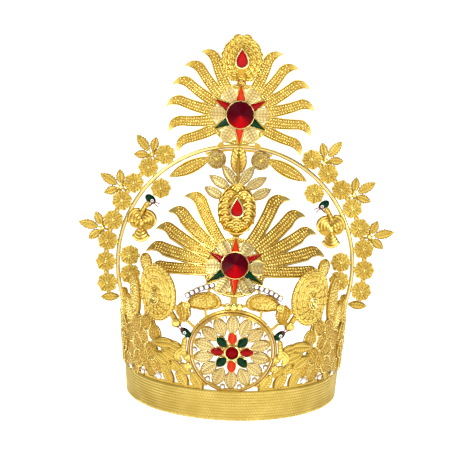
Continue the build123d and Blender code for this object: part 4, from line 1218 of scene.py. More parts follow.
@dataclass
class Panels:
    """Filigree discs and leaves of the wall, right-hand side and its mirror image."""

    front: tuple[DiscRow, ...] = (
        DiscRow(41.5, 0.728, 12.0, 0.232, kind="swirl"),
        DiscRow(48.5, 0.950, 3.9, 0.074, kind="grain"),
        DiscRow(25.4, 0.614, 3.9, 0.085, -8, "scale"),
        DiscRow(43.5, 0.381, 4.5, 0.085, -12, "scale"),
        DiscRow(49.6, 0.458, 4.0, 0.080, 38, "scale"),
        DiscRow(46.8, 0.236, 5.0, 0.080, 40, "scale"),
        DiscRow(48.0, 0.097, 4.9, 0.085, -35, "scale"),
        DiscRow(52.6, 0.340, 4.0, 0.080, -42, "scale"),
        DiscRow(52.9, 0.190, 3.9, 0.080, -20, "scale"),
        DiscRow(41.6, 0.140, 4.6, 0.085, -30, "scale"),
        DiscRow(35.2, 0.069, 3.3, 0.085, -32, "foot"),
        DiscRow(26.6, 0.069, 3.3, 0.085, -32, "foot"),
        DiscRow(18.4, 0.064, 3.2, 0.080, -32, "foot"),
        DiscRow(31.0, 0.165, 3.2, 0.075, -50, "foot"),
        DiscRow(36.0, 0.150, 3.0, 0.070, -40, "foot"),
        DiscRow(24.6, 0.150, 2.9, 0.065, -44, "foot"),
        DiscRow(29.5, 0.511, 2.5, 0.038, kind="curl"),
        DiscRow(23.4, 0.250, 2.3, 0.035, kind="curl"),
        DiscRow(22.2, 0.176, 1.9, 0.029, kind="curl"),
    )
    side: tuple[DiscRow, ...] = (
        DiscRow(59.5, 0.664, 4.6, 0.190, kind="grain"),
        DiscRow(67.0, 0.500, 4.8, 0.130, kind="grain"),
        DiscRow(74.6, 0.528, 4.6, 0.124, kind="grain"),
        DiscRow(58.6, 0.419, 4.5, 0.100, 28, "scale"),
        DiscRow(58.4, 0.275, 4.7, 0.084, -40, "scale"),
        DiscRow(65.6, 0.317, 4.9, 0.086, 35, "scale"),
        DiscRow(73.6, 0.347, 4.8, 0.088, -32, "scale"),
        DiscRow(82.0, 0.364, 4.7, 0.094, 25, "scale"),
        DiscRow(58.0, 0.133, 4.6, 0.084, 38, "scale"),
        DiscRow(66.6, 0.175, 4.9, 0.084, -38, "scale"),
        DiscRow(75.0, 0.200, 4.9, 0.084, 36, "scale"),
        DiscRow(83.4, 0.206, 4.8, 0.090, -28, "scale"),
        DiscRow(62.4, 0.042, 4.6, 0.060, -24, "scale"),
        DiscRow(71.0, 0.064, 4.8, 0.070, 18, "scale"),
        DiscRow(79.4, 0.075, 4.8, 0.074, -16, "scale"),
        DiscRow(86.2, 0.056, 3.0, 0.060, 10, "scale"),
    )
    small_stones: tuple[tuple[float, float, float], ...] = (
        (41.6, 0.045, 4.2), (54.6, 0.040, 3.2), (69.0, 0.032, 2.8),
    )
    flared_from: float = 73.0    # angle beyond which the discs stand out further
    flared: float = 1.3
    scale_beads: int = 14        # along each edge of a scale
    swirl_beads: int = 44
    swirl: tuple[tuple[int, float, float], ...] = ((18, 0.97, 5.2), (13, 0.66, 4.6), (8, 0.38, 3.6))
                                 # number, share of the disc's size and length of each ring's scales
    stagger: float = 0.14        # step in height between neighbouring discs
    centres: Point = (37.0, 71.0)    # angles round which the two panels are drawn

    def build(self) -> None:
        """Lay the work on both panels and their mirror images."""
        front = Relief()
        wall = Wall(centre=self.centres[0])
        for i, row in enumerate(self.front):
            self.lay(front, wall, row, self.stagger * (i % 3))
        front.place_pair("front_panel_work", wall)
        side = Relief()
        wall = Wall(centre=self.centres[1])
        for i, row in enumerate(self.side):
            flared = self.flared if row.at > self.flared_from else 0
            self.lay(side, wall, row, self.stagger * (i % 3) + flared)
        side.place_pair("side_panel_work", wall)
        ring = Relief()
        path = arc_points(MEDAL_WIRE, 52, 146, 40, MEDAL_CENTRE)
        ring.wire(path, radius=0.4, height=0.3, slot=SHELLS, tone=0.6)
        ring.place_pair("medallion_wire", FRONT)
        stones = Relief()
        for at, up, width in self.small_stones:
            stones.gem(FRONT.spot(at, up), width / 2, base=0.2, height=1.9, facets=8)
        stones.place_pair("wall_crystals", FRONT, (Gloss.CRYSTAL,), "white_crystal", "wall_stones")

    def lay(self, work: Relief, wall: Wall, row: DiscRow, lift: float = 0.0) -> None:
        """Lay one disc or leaf.

        Args:
            work: Work to add it to.
            wall: Surface of the panel.
            row: Its place and size.
            lift: Extra height.
        """
        x, z = wall.spot(row.at, row.up)
        half = (wall.radius_at(z) * math.sin(math.radians(row.wide)), row.tall * wall.height)
        along, across = axes(-row.turn)
        root = tuple(Vector((x, z)) - along * half[1])
        length, width = 2 * half[1], 2 * half[0]
        if row.kind == "foot":
            work.leaf(length, width, root, -row.turn, lift=0.9 + lift, veins=8, slot=VEINED)
        elif row.kind == "curl":
            work.disc(half, (x, z), row.turn, lift=1.3, segments=16, section=DOME)
            work.hoop((x, z), half[0] * 0.8, steps=12, radius=0.3, height=1.0)
        elif row.kind == "swirl":
            self.lay_swirl(work, (x, z), half)
        elif row.kind == "scale":
            work.leaf(
                length, width, root, -row.turn, belly=0.55, lift=0.9 + lift, veins=7, slot=FILIGREE,
            )
            for i in range(self.scale_beads):
                share = (i + 0.5) / self.scale_beads
                wide = half[0] * 0.96 * (1 - (2 * share - 1) ** 2) ** 0.6
                for side in (-1, 1):
                    flat = Vector(root) + along * (length * share) + across * (side * wide)
                    work.bead(tuple(flat), radius=0.42, height=0.45 + lift)
        else:
            work.disc(half, (x, z), row.turn, lift=0.9 + lift, slot=FILIGREE, segments=26)
            field = (half[0] * 0.72, half[1] * 0.74)
            work.granules(field, (x, z), row.turn, size=0.46, pitch=1.3, height=0.62 + lift)

    def lay_swirl(self, work: Relief, middle: Point, half: Point) -> None:
        """Large filigree disc with rings of scales round a coiled middle.

        Args:
            work: Work to add it to.
            middle: Middle of the disc.
            half: Half sizes of the disc.
        """
        work.disc(half, middle, lift=0.5, slot=SHEET, segments=56)
        hub = (middle[0] + 1.0, middle[1] - half[1] * 0.2)
        for count, share, size in self.swirl:
            for i in range(count):
                angle = 360 * (i + 0.5 * (count % 2)) / count
                x, y = polar(share, angle)
                centre = Vector(hub).lerp(Vector(middle), share)
                at = centre + Vector((x * half[0], y * half[1]))
                out = math.degrees(math.atan2(x * half[1], y * half[0]))
                root = polar(-size, out, tuple(at))
                work.shell(size, root, out, lift=0.8 + 0.4 * (1 - share), spread=40, slot=VEINED, columns=8)
        for reach in (3.4, 2.1):
            work.hoop(hub, reach, steps=18, radius=0.34, height=1.35)
        work.bead(hub, radius=1.2, height=1.1, fine=2)
        for i in range(self.swirl_beads):
            x, y = polar(1, 360 * i / self.swirl_beads)
            at = (middle[0] + x * (half[0] - 0.3), middle[1] + y * (half[1] - 0.3))
            work.bead(at, radius=0.55, height=0.5)


@dataclass(frozen=True)
class FeatherRow:
    """Angles of a feather's root, shoulder and tip, and its share of the reach."""

    root: float
    shoulder: float
    tip: float
    reach: float = 1.0


def bowed(start: Vector, end: Vector, bow: float, share: float) -> Vector:
    """Point on an edge that bows to the left.

    Args:
        start: Where the edge starts.
        end: Where it ends.
        bow: How far it bows, as a share of its length.
        share: Share of its length where the point lies.

    Returns:
        The point.
    """
    along = end - start
    normal = Vector((-along.y, along.x))
    return start + along * share + normal * (4 * bow * share * (1 - share))


def lay_beaded(
    work: Relief, spot: Callable[[float, float], Vector], side: int, smooth_from: float, bead: float,
    pitch: float,
) -> None:
    """Rimmed plate with three rows of beads and a smooth tip.

    Args:
        work: Work to add it to.
        spot: Flat point for a share along and a share across from -1 to 1.
        side: 1 or -1, the sense in which the share across turns.
        smooth_from: Share along where the beads end.
        bead: Largest radius of a bead.
        pitch: From bead to bead.
    """
    def shape(s: float, t: float) -> tuple[float, float, float, float]:
        """Point and tone at the two shares that patch gives."""
        place, height, tone = FEATHER.read(s)
        flat = spot(t, place * side)
        plain = min(1.0, max(0.0, 12 * (t - smooth_from)))
        body = min(1.0, 6 * (1 - t) + 0.15)
        height += (0.95 - height) * plain if abs(place) < 0.9 else 0.0
        return flat.x, flat.y, 1.15 * height * body, tone + (0.85 - tone) * plain

    work.patch(2 * FEATHER.steps, 28, shape, SHEET)
    length = (spot(0.0, 0) - spot(0.5, 0)).length + (spot(0.5, 0) - spot(1.0, 0)).length
    count = round(length / pitch)
    for i in range(count):
        for j, across in enumerate((-0.52, 0.0, 0.52)):
            share = (i + 0.4 + 0.5 * (j % 2)) / count
            wide = (spot(share, 1) - spot(share, -1)).length if share < smooth_from else 0.0
            if wide > 2.2:
                flat = spot(share, across)
                order = (3 * i + j) * GOLDEN_SHARE % 1.0
                tone = 0.5 + 0.5 * order
                work.bead((flat.x, flat.y), min(bead, wide * 0.105), 0.75, flat=0.9, fine=2, tone=tone)
                # dark speck beside the bead: painted shadow between the beads
                if order < SHADOW_SPECK_SHARE:
                    work.bead((flat.x, flat.y - 0.6 * bead), 0.42 * bead, height=1.1, slot=DARK)


def drop_point(middle: Point, half: Point, angle: float) -> Point:
    """Point on a teardrop's outline, pointed at its top."""
    x, y = polar(1, angle)
    return middle[0] + 1.36 * x * ((1 - y) / 2) ** 0.6 * half[0], middle[1] + y * half[1]


def build_drop(name: str, surface: Surface, middle: Point, half: Point) -> None:
    """Teardrop stone with a raised table.

    Args:
        name: Node's name without its ending.
        surface: What it lies on.
        middle: Middle of the stone.
        half: Half width and half length.
    """
    work = Relief()
    work.gem((0, 0), 1.0, base=0.2, height=2.6, facets=16, table=0.99)
    work.gem((0, 0), 0.99, base=2.8, height=0.7, facets=16, table=0.6)
    for vert in work.mesh.verts:
        reach = math.hypot(vert.co.x, vert.co.y)
        angle = math.degrees(math.atan2(vert.co.x, vert.co.y))
        vert.co.x, vert.co.y = drop_point(middle, (half[0] * reach, half[1] * reach), angle)
        # middle lighter than the edge: painted light in the stone
        vert[work.tone] = 0.8 if reach < 0.7 else 0.35
    work.place(f"{name}_drop", surface, (Gloss.RUBY,), "red_stone", [f"{name}_stone"])


@dataclass
class Fan:
    """Fan of feathers round a big stone, with rays and petals."""

    name: str
    surface: Plate
    feathers: tuple[FeatherRow, ...]
    reach: float
    root_radius: float = 16.0
    root_width: float = 7.0
    shoulder: float = 0.83
    waist: float = 0.80
    spread: float = 10.6
    bend_at: float = 0.72        # share of a feather where its tip starts to curl
    smooth_from: float = 0.86    # share of a feather where its beads end
    bead: float = 0.74
    bead_pitch: float = 1.5
    disc_radius: float = 17.6
    lobe_pitch: float = 3.1      # degrees between beads of the disc's rim
    petals: int = 6
    petal_middle: float = 12.6
    petal_half: Point = (4.3, 5.4)
    ray_start: float = 7.4
    ray_tip: float = 17.8
    ray_width: float = 5.2
    stone: float = 15.4
    stone_base: float = 13.8
    cup_top: float = 2.5
    girdle_height: float = 0.6
    crown_height: float = 1.7
    facets: int = 14
    glow: float = 0.95           # tone of the stone's lower facets, where light comes through

    def build(self) -> None:
        """Lay the fan's gold work, its rays and its stone."""
        work = Relief()
        self.lay_disc(work)
        for row in self.feathers:
            self.lay_feather(work, row, 1)
            self.lay_feather(work, row, -1)
        work.place(f"{self.name}_work", self.surface)
        rays = {Gloss.ORANGE: (0, 180), Gloss.RED: (60, 300), Gloss.GREEN: (120, 240)}
        for colour, angles in rays.items():
            self.build_rays(colour, angles)
        self.build_stone()

    def lay_disc(self, work: Relief) -> None:
        """Petals, rim and cup round the stone.

        Args:
            work: Work to add them to.
        """
        work.hoop((0, 0), self.disc_radius - 0.4, steps=60, radius=0.3, height=0.4)
        root = self.petal_middle - self.petal_half[1]
        for i in range(self.petals):
            angle = 360 * (i + 0.5) / self.petals
            work.petal(
                2 * self.petal_half[1], 2.3 * self.petal_half[0], polar(root, angle), angle,
                lift=1.1, slot=LACE, steps=30, narrow=0.25, veins=9,
            )
            edge = oval_points(self.petal_half, polar(self.petal_middle, angle), angle, 22)
            work.wire(edge, radius=0.3, height=0.5, closed=True)
            for j in (-4, -3, -2, 2, 3, 4):
                at = polar(self.disc_radius - 1.4, angle + 180 / self.petals + self.lobe_pitch * j)
                work.bead(at, radius=0.62, height=0.5)
        cup = self.stone / 2 + 0.2
        work.hoop((0, 0), cup, steps=48, radius=0.26, height=self.cup_top + 0.1)

    def edges(self, row: FeatherRow, share: float) -> tuple[Vector, Vector]:
        """Both edges of a feather.

        Args:
            row: The feather.
            share: From 0 at the root to 1 at the tip.

        Returns:
            Points on the inner and the outer edge.
        """
        half = math.degrees(math.asin(self.root_width / 2 / self.root_radius))
        length = self.reach * row.reach
        inner_root = Vector(polar(self.root_radius, row.root - half))
        outer_root = Vector(polar(self.root_radius, row.root + half))
        shoulder = Vector(polar(self.shoulder * length, row.shoulder))
        waist = Vector(polar(self.waist * length, row.shoulder + self.spread))
        tip = Vector(polar(length, row.tip))
        if share < self.bend_at:
            part = share / self.bend_at
            return bowed(inner_root, shoulder, -0.03, part), bowed(outer_root, waist, -0.03, part)
        part = (share - self.bend_at) / (1 - self.bend_at)
        return bowed(shoulder, tip, 0.24, part), bowed(waist, tip, 0.12, part)

    def lay_feather(self, work: Relief, row: FeatherRow, side: int) -> None:
        """Feather with a rim, three rows of beads and a smooth tip.

        Args:
            work: Work to add it to.
            row: The feather.
            side: 1 for the right and -1 for the left.
        """
        def spot(share: float, across: float) -> Vector:
            """Flat point at a share along and a share across."""
            inner, outer = self.edges(row, share)
            flat = inner.lerp(outer, 0.5 + 0.5 * across)
            return Vector((side * flat.x, flat.y))

        lay_beaded(work, spot, side, self.smooth_from, self.bead, self.bead_pitch)

    def build_rays(self, colour: Gloss, angles: Sequence[float]) -> None:
        """Rays of one enamel colour.

        Args:
            colour: The enamel.
            angles: Angles from the top.
        """
        work = Relief()
        length = self.ray_tip - self.ray_start
        for angle in angles:
            turn = math.radians(angle)

            def shape(s: float, t: float) -> tuple[float, float, float, float]:
                """Point and tone at the two shares that patch gives."""
                place, height, tone = DOME.read(s)
                across = place * max(0.04, self.ray_width / 2 * (1 - t) ** 1.15)
                x, y = polar(self.ray_start + t * length, angle)
                rise = 0.7 + 0.9 * height * (1 - 0.4 * t)
                return x + across * math.cos(turn), y - across * math.sin(turn), rise, tone

            work.patch(2 * DOME.steps, 10, shape, 0)
        name = colour.name.lower()
        work.place(
            f"{self.name}_enamel_{name}", self.surface, (colour,), f"{name}_enamel",
            [f"{self.name}_rays_{name}"],
        )

    def build_stone(self) -> None:
        """Big round stone whose long facets meet near its middle."""
        work = Relief()
        girdle = self.stone / 2
        narrowed = 0.96
        top = self.cup_top + self.girdle_height
        work.gem((0, 0), self.stone_base / 2, 0.25, self.cup_top, self.facets, table=1.08)
        work.gem((0, 0), girdle, self.cup_top, self.girdle_height, self.facets, table=narrowed)
        work.gem((0, 0), girdle * narrowed, top, self.crown_height, self.facets, table=0.12)
        for vert in work.mesh.verts:
            down = max(0.0, -vert.co.y / math.hypot(vert.co.x, vert.co.y))
            vert[work.tone] = self.glow * down ** 3
        work.place(
            f"{self.name}_cut_stone", self.surface, (Gloss.GARNET,), "dark_red_stone",
            [f"{self.name}_stone"],
        )


@dataclass
class LeafCone:
    """Cone of rolled petals round a teardrop, with leaves beside its top."""

    middle: float = 33.6
    half: Point = (11.0, 15.4)
    rolls: tuple[tuple[float, float, float, float], ...] = (
        (0.0, 9.9, 0.0, 5.2), (3.6, 6.2, 12.0, 5.3), (0.0, 4.8, 0.0, 3.6), (6.0, 3.2, 12.0, 5.3),
        (6.5, -0.9, 7.0, 5.4), (6.5, -5.0, 6.0, 5.4), (5.8, -9.0, 12.0, 5.2), (3.2, -12.3, 8.0, 4.8),
        (0.0, -11.1, 0.0, 5.3), (0.0, -14.6, 0.0, 4.4),
    )                            # across, up, angle and size of each rolled petal's arch
    rim: Point = (10.5, 14.9)    # half width and half length of the wire round the cone
    first_lift: float = 1.5
    lift_step: float = 0.12
    crown: tuple[tuple[float, float, float, float], ...] = (
        (7.2, 9.0, 57.0, 13.9), (3.7, 3.5, 55.0, 15.5), (0.0, 2.0, 34.0, 16.7),
    )                            # across, below the top, angle and length of each leaf
    crown_width: float = 6.0
    lift: float = 1.8
    drop: Point = (3.1, 5.3)

    def build(self) -> None:
        """Lay the cone's petals, its stone's rim and its leaves."""
        work = Relief()
        middle = (0, self.middle)
        core = (self.half[0] - 0.6, self.half[1] - 0.6)
        work.disc(core, middle, lift=0.9, segments=32, slot=SHELLS, section=CORE)
        edge = oval_points(self.rim, middle, 0, 48)
        work.wire(edge, radius=0.4, height=0.7, slot=SHELLS, closed=True, tone=0.6)
        for i, (across, up, angle, size) in enumerate(self.rolls):
            for side in (1, -1) if across else (1,):
                root = (side * across, self.middle + up)
                lift = self.first_lift + i * self.lift_step
                work.shell(size, root, side * angle, lift, spread=68, slot=SHELLS, columns=14)
        lay_drop_rim(work, middle, self.drop, 2.6)
        for across, below, angle, length in self.crown:
            for side in (1, -1):
                start = (side * across, self.middle + self.half[1] - below)
                work.leaf(length, self.crown_width, start, side * angle, lift=1.0, veins=9, slot=LACE)
        surface = LOW_FAN.raised(self.lift)
        work.place("leaf_cone_work", surface)
        build_drop("leaf_cone", surface, middle, self.drop)


def lay_drop_rim(work: Relief, middle: Point, half: Point, height: float) -> None:
    """Rim round a teardrop stone.

    Args:
        work: Work to add it to.
        middle: Middle of the stone.
        half: Half width and half length of the stone.
        height: Height of the rim.
    """
    steps = 24
    outer = (half[0] + 0.45, half[1] + 0.5)
    path = [drop_point(middle, outer, 360 * i / steps) for i in range(steps)]
    work.wire(path, radius=0.4, height=height, slot=LACE, closed=True)
    work.wire(path, radius=0.6, height=height - 0.9, closed=True)


@dataclass
class TopLeaf:
    """Broad scalloped leaf above the upper fan's stone."""

    middle: float = 31.9
    half: Point = (12.2, 13.7)
    lift: float = 1.8
    lowered: float = 0.8
    drop: Point = (3.1, 5.0)
    scallops: tuple[tuple[int, float, float], ...] = ((17, 0.97, 4.4), (13, 0.72, 4.2), (9, 0.48, 3.6))
                                 # number, share of the leaf's size and length of each ring's scales
    edge_beads: int = 44
    cup: tuple[tuple[float, float, float], ...] = ((0.0, -9.2, 4.2), (3.7, -8.0, 3.8), (0.0, -12.0, 4.0))
                                 # across, up from the stone's middle and size of each scale below it

    def build(self) -> None:
        """Lay the leaf's scallops and its beaded edge."""
        work = Relief()
        centre = (0, self.middle - self.lowered)
        core = (self.half[0] - 1.0, self.half[1] - 1.0)
        work.disc(core, centre, lift=0.8, segments=32, slot=SHELLS, section=CORE)
        for count, ring, size in self.scallops:
            for i in range(count):
                angle = -150 + 300 * i / (count - 1)
                x, y = polar(1, angle)
                at = (x * self.half[0] * ring, y * self.half[1] * ring + centre[1])
                out = math.degrees(math.atan2(x / self.half[0], y / self.half[1]))
                lift = 1.0 + 0.9 * (1 - ring)
                work.shell(size, polar(-size, out, at), out, lift, spread=50, slot=VEINED, columns=8)
        for x, y in arc_points(1, -162, 162, self.edge_beads - 1):
            at = (x * (self.half[0] - 0.3), y * (self.half[1] - 0.3) + centre[1])
            work.bead(at, radius=0.62, height=0.4)
        for side in (-1, 1):
            top = (side * 1.5, self.middle + self.half[1] - 5.2)
            work.shell(4.8, top, side * 18, lift=1.3, slot=VEINED, columns=8)
        for across, up, size in self.cup:
            for side in (1, -1) if across else (1,):
                root = (side * across, self.middle + up)
                turn = 180 - side * 24 * (across > 0)
                work.shell(size, root, turn, lift=1.7, spread=60, slot=SHELLS, columns=8)
        lay_drop_rim(work, (0, self.middle), self.drop, 2.4)
        surface = TOP_FAN.raised(self.lift)
        work.place("top_leaf_work", surface)
        build_drop("top_leaf", surface, (0, self.middle), self.drop)


@dataclass
class Arch:
    """Rosettes, sprays and leaves that the arch's wire carries."""

    radius: float = 67.0
    wire: float = 2.6
    seat: float = 0.2
    end: float = 109.01
    rosette: float = 10.5
    petal: float = 5.3
    petal_reach: float = 5.95
    thick: float = 1.6
    from_end: float = 10.9
    step: float = 12.14
    count: int = 8
    inner: tuple[tuple[str, tuple[float, ...]], ...] = (
        ("inner_rosette", (65.7,)), ("lower_inner_rosettes", (22.6, 11.9)),
    )
    sprays: tuple[tuple[str, int], ...] = (("upper_spray", 0), ("middle_spray", 2), ("lower_spray", 4))
    spray_hub: float = 4.4
    spray_leaf: float = 14.5
    spray_side: float = 10.5
    spray_turn: float = 52.0
    spray_width: float = 5.7
    petals: int = 8
    studs: int = 9               # beads round a rosette's middle

    @property
    def chain(self) -> float:
        """Radius of the outer rosettes' middles."""
        return self.radius + self.wire / 2 + self.seat + self.rosette / 2

    @property
    def inside(self) -> float:
        """Radius of the inner rosettes' middles."""
        return self.radius - self.wire / 2 - self.seat - self.rosette / 2

    def angle(self, radius: float, distance: float) -> float:
        """Angle from the top at a distance along an arc from the arch's end."""
        return self.end - math.degrees(distance / radius)

    def rosette_angle(self, place: float) -> float:
        """Angle of a rosette counted from 0 at the top."""
        return self.angle(self.chain, self.from_end + (self.count - 1 - place) * self.step)

    def build(self) -> None:
        """Lay everything on the arch's plane."""
        front = HALO.raised(self.thick / 2)
        chain = Relief()
        for i in range(self.count):
            self.lay_rosette(chain, polar(self.chain, self.rosette_angle(i)), self.rosette_angle(i))
            if i:
                knot = polar(self.chain, self.rosette_angle(i - 0.5))
                chain.bead(knot, radius=1.3, height=0.2, fine=2, tone=0.3)
        chain.place_pair("rosette_chain_work", front)
        for name, distances in self.inner:
            work = Relief()
            for distance in distances:
                angle = self.angle(self.inside, distance)
                self.lay_rosette(work, polar(self.inside, angle), angle)
            work.place_pair(f"{name}_work", front)
        self.build_sprays()

    def lay_rosette(self, work: Relief, at: Point, turn: float) -> None:
        """Eight-petalled rosette with beaded tips and a ringed middle.

        Args:
            work: Work to add it to.
            at: Its middle.
            turn: Angle of its first petal.
        """
        for i in range(self.petals):
            angle = turn + 360 / self.petals * i
            root = polar(1.0, angle, at)
            lift = 0.8 + 0.2 * (i % 2)
            work.petal(self.petal_reach - 1.0, self.petal, root, angle, lift, VEINED, steps=10, veins=4)
            for j, inset in ((-1, 0.7), (0, 0.35), (1, 0.7)):
                work.bead(polar(self.petal_reach - inset, angle + 12 * j, at), radius=0.5, height=0.35)
            # dark bead in the notch between two petals: painted shade
            work.bead(polar(4.3, angle + 180 / self.petals, at), radius=0.3, height=0.6, slot=DARK)
        work.disc((1.75, 1.75), at, lift=1.2, segments=12, section=DOME)
        for spot in ring_points(1.6, self.studs, at):
            work.bead(spot, radius=0.42, height=1.1)
        work.bead(at, radius=0.85, height=1.3)

    def build_sprays(self) -> None:
        """Sprays of three toothed leaves, and the leaf at the arch's end."""
        front = HALO.raised(-0.2)
        half = self.step / self.chain / 2
        reach = self.rosette / 2 + self.seat + self.spray_hub / 2
        out = self.chain * math.cos(half) + math.sqrt(reach ** 2 - (self.chain * math.sin(half)) ** 2)
        for name, first in self.sprays:
            angle = self.rosette_angle(first + 0.5)
            hub = polar(out, angle)
            work = Relief()
            self.lay_sprig(work, self.spray_leaf, hub, angle)
            for turn in (-self.spray_turn, self.spray_turn):
                self.lay_sprig(work, self.spray_side, hub, angle + turn)
                self.lay_sprig(work, 0.5 * self.spray_side, hub, angle + 2 * turn)
            work.bead(hub, radius=1.5, fine=2)
            work.wire([polar(out - 3.2, angle), hub], radius=0.8)
            work.place_pair(f"{name}_leaves", front, node=name)
        radius = self.radius + self.wire / 2 + self.seat
        work = Relief()
        root = polar(radius, self.angle(radius, 1.2))
        work.leaf(length=11.0, width=5.0, root=root, angle=94.0, veins=6, teeth=6, slot=VEINED)
        work.place_pair("end_leaf_work", HALO.raised(0.6))

    def lay_sprig(self, work: Relief, length: float, hub: Point, angle: float) -> None:
        """One toothed leaf of a spray, on its stem.

        Args:
            work: Work to add it to.
            length: From the hub to the tip.
            hub: Middle of the spray.
            angle: From the upward axis.
        """
        stem = 0.14 * length
        root = polar(stem, angle, hub)
        wide = self.spray_width * min(1.0, 0.45 + 0.045 * length)
        work.leaf(
            length - stem, wide, root, angle, belly=0.48, lift=0.9, veins=9, teeth=8, slot=VEINED, sink=-0.4,
        )
        work.wire([hub, polar(stem + 1.0, angle, hub)], radius=0.6)


@dataclass
class Hanging:
    """Discs, leaf and crescent feathers under the arch's top."""

    arch: Arch
    disc: float = 10.2
    disc_angle: float = 12.0
    leaf: float = 15.0
    leaf_width: float = 10.4
    leaf_rows: int = 7
    rib: float = 2.4             # width of the leaf's midrib
    petals: int = 9              # of each disc
    feather_in: float = 3.2
    feather_from: float = 14.0
    feather_to: float = 39.5
    bows: Point = (0.15, 0.15)

    def build(self) -> None:
        """Lay the ornament on the arch's plane."""
        reach = self.arch.radius - self.arch.wire / 2 - self.arch.seat
        work = Relief()
        for i in range(self.leaf_rows):
            share = (i + 0.5) / self.leaf_rows
            wide = self.leaf_width / 2 * (1 - (2 * share - 0.8) ** 2 / 1.6)
            for side in (-1, 1):
                top = (0, reach + 1.6 - self.leaf * share)
                lift = 0.9 + 0.1 * i
                work.shell(wide, top, 180 - side * 52, lift, spread=40, ridges=2, slot=SHELLS, columns=6)
        work.leaf(self.leaf - 1.0, self.rib, (0, reach - 0.5), 180, lift=1.9, veins=8, slot=VEINED)
        for side in (-1, 1):
            at = polar(reach - self.disc / 2, side * self.disc_angle)
            work.disc((self.disc / 2 + 0.5, self.disc / 2 + 0.5), at, slot=FILIGREE, lift=0.8)
            for i in range(self.petals):
                turn = 360 * i / self.petals
                work.petal(4.6, 3.8, polar(0.8, turn, at), turn, lift=1.2, slot=LACE, steps=14, veins=4)
            work.bead(at, radius=1.0, height=1.0, fine=2)
            self.lay_crescent(work, reach - self.feather_in, side)
        work.place("hanging_work", HALO.raised(0.65))

    def lay_crescent(self, work: Relief, radius: float, side: int) -> None:
        """Crescent feather with rows of beads.

        Args:
            work: Work to add it to.
            radius: Radius of its two ends.
            side: 1 for the right and -1 for the left.
        """
        start = Vector(polar(radius, self.feather_from))
        end = Vector(polar(radius, self.feather_to))

        def spot(share: float, across: float) -> Vector:
            """Flat point at a share along and a share across."""
            full = share ** 0.7
            upper = bowed(start, end, self.bows[0], full)
            lower = bowed(start, end, -self.bows[1], full)
            flat = lower.lerp(upper, 0.5 + 0.5 * across)
            return Vector((side * flat.x, flat.y))

        lay_beaded(work, spot, -side, smooth_from=0.93, bead=0.7, pitch=1.5)


